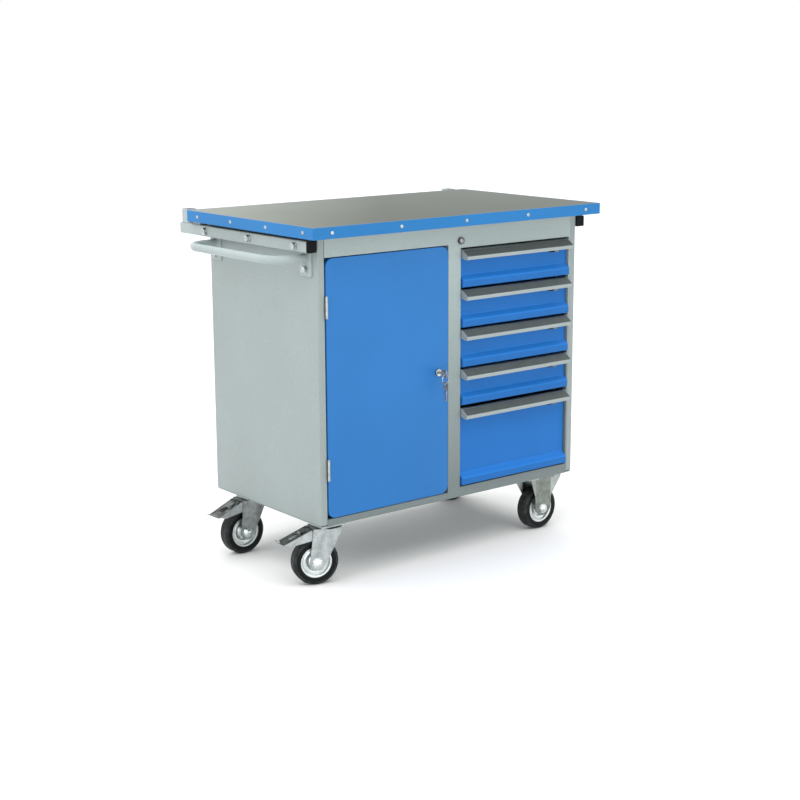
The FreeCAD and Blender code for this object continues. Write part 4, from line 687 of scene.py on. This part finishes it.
def add_piece(name, vertices, faces, material, body):
    mesh = bpy.data.meshes.new(name)
    mesh.from_pydata([tuple(v) for v in vertices], [], faces)
    work = bmesh.new()
    work.from_mesh(mesh)
    bmesh.ops.recalc_face_normals(work, faces=work.faces)
    work.to_mesh(mesh)
    work.free()
    for polygon in mesh.polygons:
        polygon.use_smooth = True
    mesh.materials.append(materials[material])
    piece = bpy.data.objects.new(name, mesh)
    collection.objects.link(piece)
    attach(piece, body)
    return piece


def swept(rows, closed):
    """Faces between rings of the same number of points, joined end to end or capped."""
    count = len(rows[0])
    vertices = [point for row in rows for point in row]
    faces = []
    for i in range(len(rows) if closed else len(rows) - 1):
        here, there = i * count, (i + 1) % len(rows) * count
        for k in range(count):
            after = (k + 1) % count
            faces.append((here + k, here + after, there + after, there + k))
    if not closed:
        faces.append(tuple(reversed(range(count))))
        faces.append(tuple(range((len(rows) - 1) * count, len(rows) * count)))
    return vertices, faces


def weld_bead(name, path, sides, closed):
    """A hand-laid weld bead on the cabinet: a rippled, slightly uneven fillet along a path.

    sides gives, for each point of the path, the two directions that the fillet fills between.
    """
    rows = []
    total = len(path)
    for i, (point, (one, two)) in enumerate(zip(path, sides)):
        swell = 1.0 + RIPPLE * math.sin(i * 2.0 * math.pi / RIPPLE_STEPS) + random.uniform(-UNEVEN, UNEVEN)
        if not closed:
            from_end = min(i, total - 1 - i) / total
            swell *= BEAD_TIP + (1.0 - BEAD_TIP) * min(1.0, 3.0 * from_end + 0.1)
        reach = BEAD_WIDTH * swell
        row = [point - (one + two) * BEAD_SINK]
        for step in range(BEAD_ARC_STEPS + 1):
            angle = math.pi / 2 * step / BEAD_ARC_STEPS
            row.append(point + (one * math.cos(angle) + two * math.sin(angle)) * reach * BEAD_FLATNESS)
        rows.append(row)
    vertices, faces = swept(rows, closed)
    # the beads take the rails' paint, painted lighter as painted light
    add_piece(name, vertices, faces, "rail", "cabinet")


def handle_welds():
    """Fillets where the handle's tube meets its two plates."""
    plates = []
    for faces, low, high in islands(nodes["push_handle"].data):
        if high.x - low.x < PLATE_THICKNESS:
            plates.append((low, high))
        else:
            tube_low, tube_high = low, high
    radius = (tube_high.z - tube_low.z) / 2
    ends = {"front": tube_low.y + radius, "rear": tube_high.y - radius}
    face = min(low.x for low, high in plates)
    for place, y in ends.items():
        middle = Vector((face, y, (tube_low.z + tube_high.z) / 2))
        path, sides = [], []
        for i in range(HANDLE_BEAD_STEPS):
            angle = 2 * math.pi * i / HANDLE_BEAD_STEPS
            out = Vector((0, math.cos(angle), math.sin(angle)))
            path.append(middle + out * radius)
            sides.append((out, Vector((-1, 0, 0))))
        weld_bead("handle_weld_" + place, path, sides, True)


def is_upright(low, high):
    """Whether a solid of the side rails is one of the two upright sockets."""
    size = high - low
    return size.z >= SOCKET_HEIGHT and size.y <= SOCKET_DEPTH and high.z >= SOCKET_TOP


def socket_welds():
    """Fillets at the foot of the upright sockets, where the rail leaves room for one."""
    rails_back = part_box("side_rails")[1][1]
    for faces, low, high in islands(nodes["side_rails"].data):
        if not is_upright(low, high):
            continue
        side = "left" if low.x < 0 else "right"
        for place, y, out in (("front", low.y, -1.0), ("rear", high.y, 1.0)):
            if place == "rear" and high.y + BEAD_WIDTH > rails_back:
                continue
            path, sides = [], []
            for i in range(SOCKET_BEAD_STEPS + 1):
                length = high.x - low.x - 2 * SOCKET_BEAD_INSET
                x = low.x + SOCKET_BEAD_INSET + length * i / SOCKET_BEAD_STEPS
                path.append(Vector((x, y, low.z)))
                sides.append((Vector((0, out, 0)), Vector((0, 0, 1))))
            weld_bead("socket_weld_%s_%s" % (side, place), path, sides, False)


def axle_washers():
    """A bevelled washer between each fork leg and the head of its axle."""
    for place in SWIVEL_WHEELS + FIXED_WHEELS:
        swivel = place in SWIVEL_WHEELS
        fork = nodes["fork_" + place if swivel else "fixed_forks"].data
        body = "caster_" + place if swivel else "cabinet"
        middle = wheel_middle(place)
        axis = axle_direction(place)
        legs = []
        for faces, low, high in islands(fork):
            if low.z < middle.z < high.z - LEG_RISE and low.y < middle.y < high.y:
                legs = [fork.vertices[v].co for face in faces for v in face.vertices]
        for side, sign in (("inner", 1.0), ("outer", -1.0)):
            seat = []
            for corner in legs:
                away = corner - middle
                if (away - axis * away.dot(axis)).length < AXLE_SEAT:
                    seat.append(away.dot(axis) * sign)
            face = max(seat)
            across = Vector((-axis.y, axis.x, 0))
            up = Vector((0, 0, 1))
            rows = []
            for i in range(WASHER_STEPS):
                angle = 2 * math.pi * i / WASHER_STEPS
                out = across * math.cos(angle) + up * math.sin(angle)
                row = [middle + axis * sign * (face + rise) + out * radius for radius, rise in WASHER_PROFILE]
                rows.append(row)
            vertices, faces = swept(rows, True)
            name = "axle_washer_%s_%s" % (place, side)
            piece = add_piece(name, vertices, faces, "bolt", body)
            for polygon in piece.data.polygons:
                polygon.use_smooth = False


# ---------------------------------------------------------------- stage and light
FLOOR_HALF = 30.0

LAMPS = (  # name, place, target, size, watts
    ("key", (-3.6, -0.4, 3.1), (0, 0, 0.5), (2.0, 1.8), 29.5),
    ("fill", (1.0, -4.6, 0.8), (0, 0, 0.5), (3.2, 1.4), 26.5),
    ("overhead", (0.3, -0.5, 4.2), (0.3, -0.5, 0), (7.0, 7.0), 255.0),
)


def make_floor():
    mesh = bpy.data.meshes.new("floor")
    half = FLOOR_HALF
    corners = [(-half, -half, 0), (half, -half, 0), (half, half, 0), (-half, half, 0)]
    mesh.from_pydata(corners, [], [(0, 1, 2, 3)])
    floor = bpy.data.objects.new("floor", mesh)
    collection.objects.link(floor)
    mesh.materials.append(studio_paper("floor_paper"))


def make_studio():
    """White walls behind the cart, brighter to its left, and a dimmer ceiling.

    The room behind the camera lights the cart dimly, but metal mirrors it as a pale one.
    Seen directly, the whole room is plain white.
    """
    world = bpy.data.worlds.new("studio")
    world.use_nodes = True
    t = Nodes(world.node_tree)
    background = t.tree.nodes["Background"]
    background.inputs["Color"].default_value = (1.0, 1.0, 1.0, 1.0)
    way = t.axes(t.add("ShaderNodeTexCoord").outputs["Generated"])
    ray = t.add("ShaderNodeLightPath").outputs

    walls = t.spread(way["Y"], -0.35, 0.30, 0.46, 0.92, smooth=True)
    mirrored = t.math("MULTIPLY", ray["Is Glossy Ray"], t.spread(way["Y"], -0.40, 0.20, 1.7, 0.5))
    room = t.math("MAXIMUM", walls, mirrored)
    lit_room = t.math("MULTIPLY", room, t.spread(way["X"], 0.53, 0.61, 1.75, 1.0))
    ceiling = t.spread(way["Z"], 0.45, 0.95, 0.0, -0.6, smooth=True)
    total = t.math("MULTIPLY_ADD", room, ceiling, lit_room)

    strength = t.add("ShaderNodeMix")
    t.link(ray["Is Camera Ray"], strength.inputs["Factor"])
    t.link(total, strength.inputs["A"])
    strength.inputs["B"].default_value = 1.0
    t.link(strength.outputs["Result"], background.inputs["Strength"])
    scene.world = world


def make_lamps():
    """Soft lamps that light the cart but aren't mirrored in its worktop."""
    for name, place, target, size, watts in LAMPS:
        data = bpy.data.lights.new(name, "AREA")
        data.shape = "RECTANGLE"
        data.size, data.size_y = size
        data.energy = watts
        lamp = bpy.data.objects.new(name, data)
        collection.objects.link(lamp)
        lamp.location = place
        lamp.rotation_euler = (Vector(target) - Vector(place)).to_track_quat("-Z", "Y").to_euler()
        lamp.visible_camera = False
        lamp.visible_glossy = False


make_camera()
paint_nodes()
handle_welds()
socket_welds()
axle_washers()
make_floor()
make_studio()
make_lamps()
scene.view_settings.view_transform = "Standard"
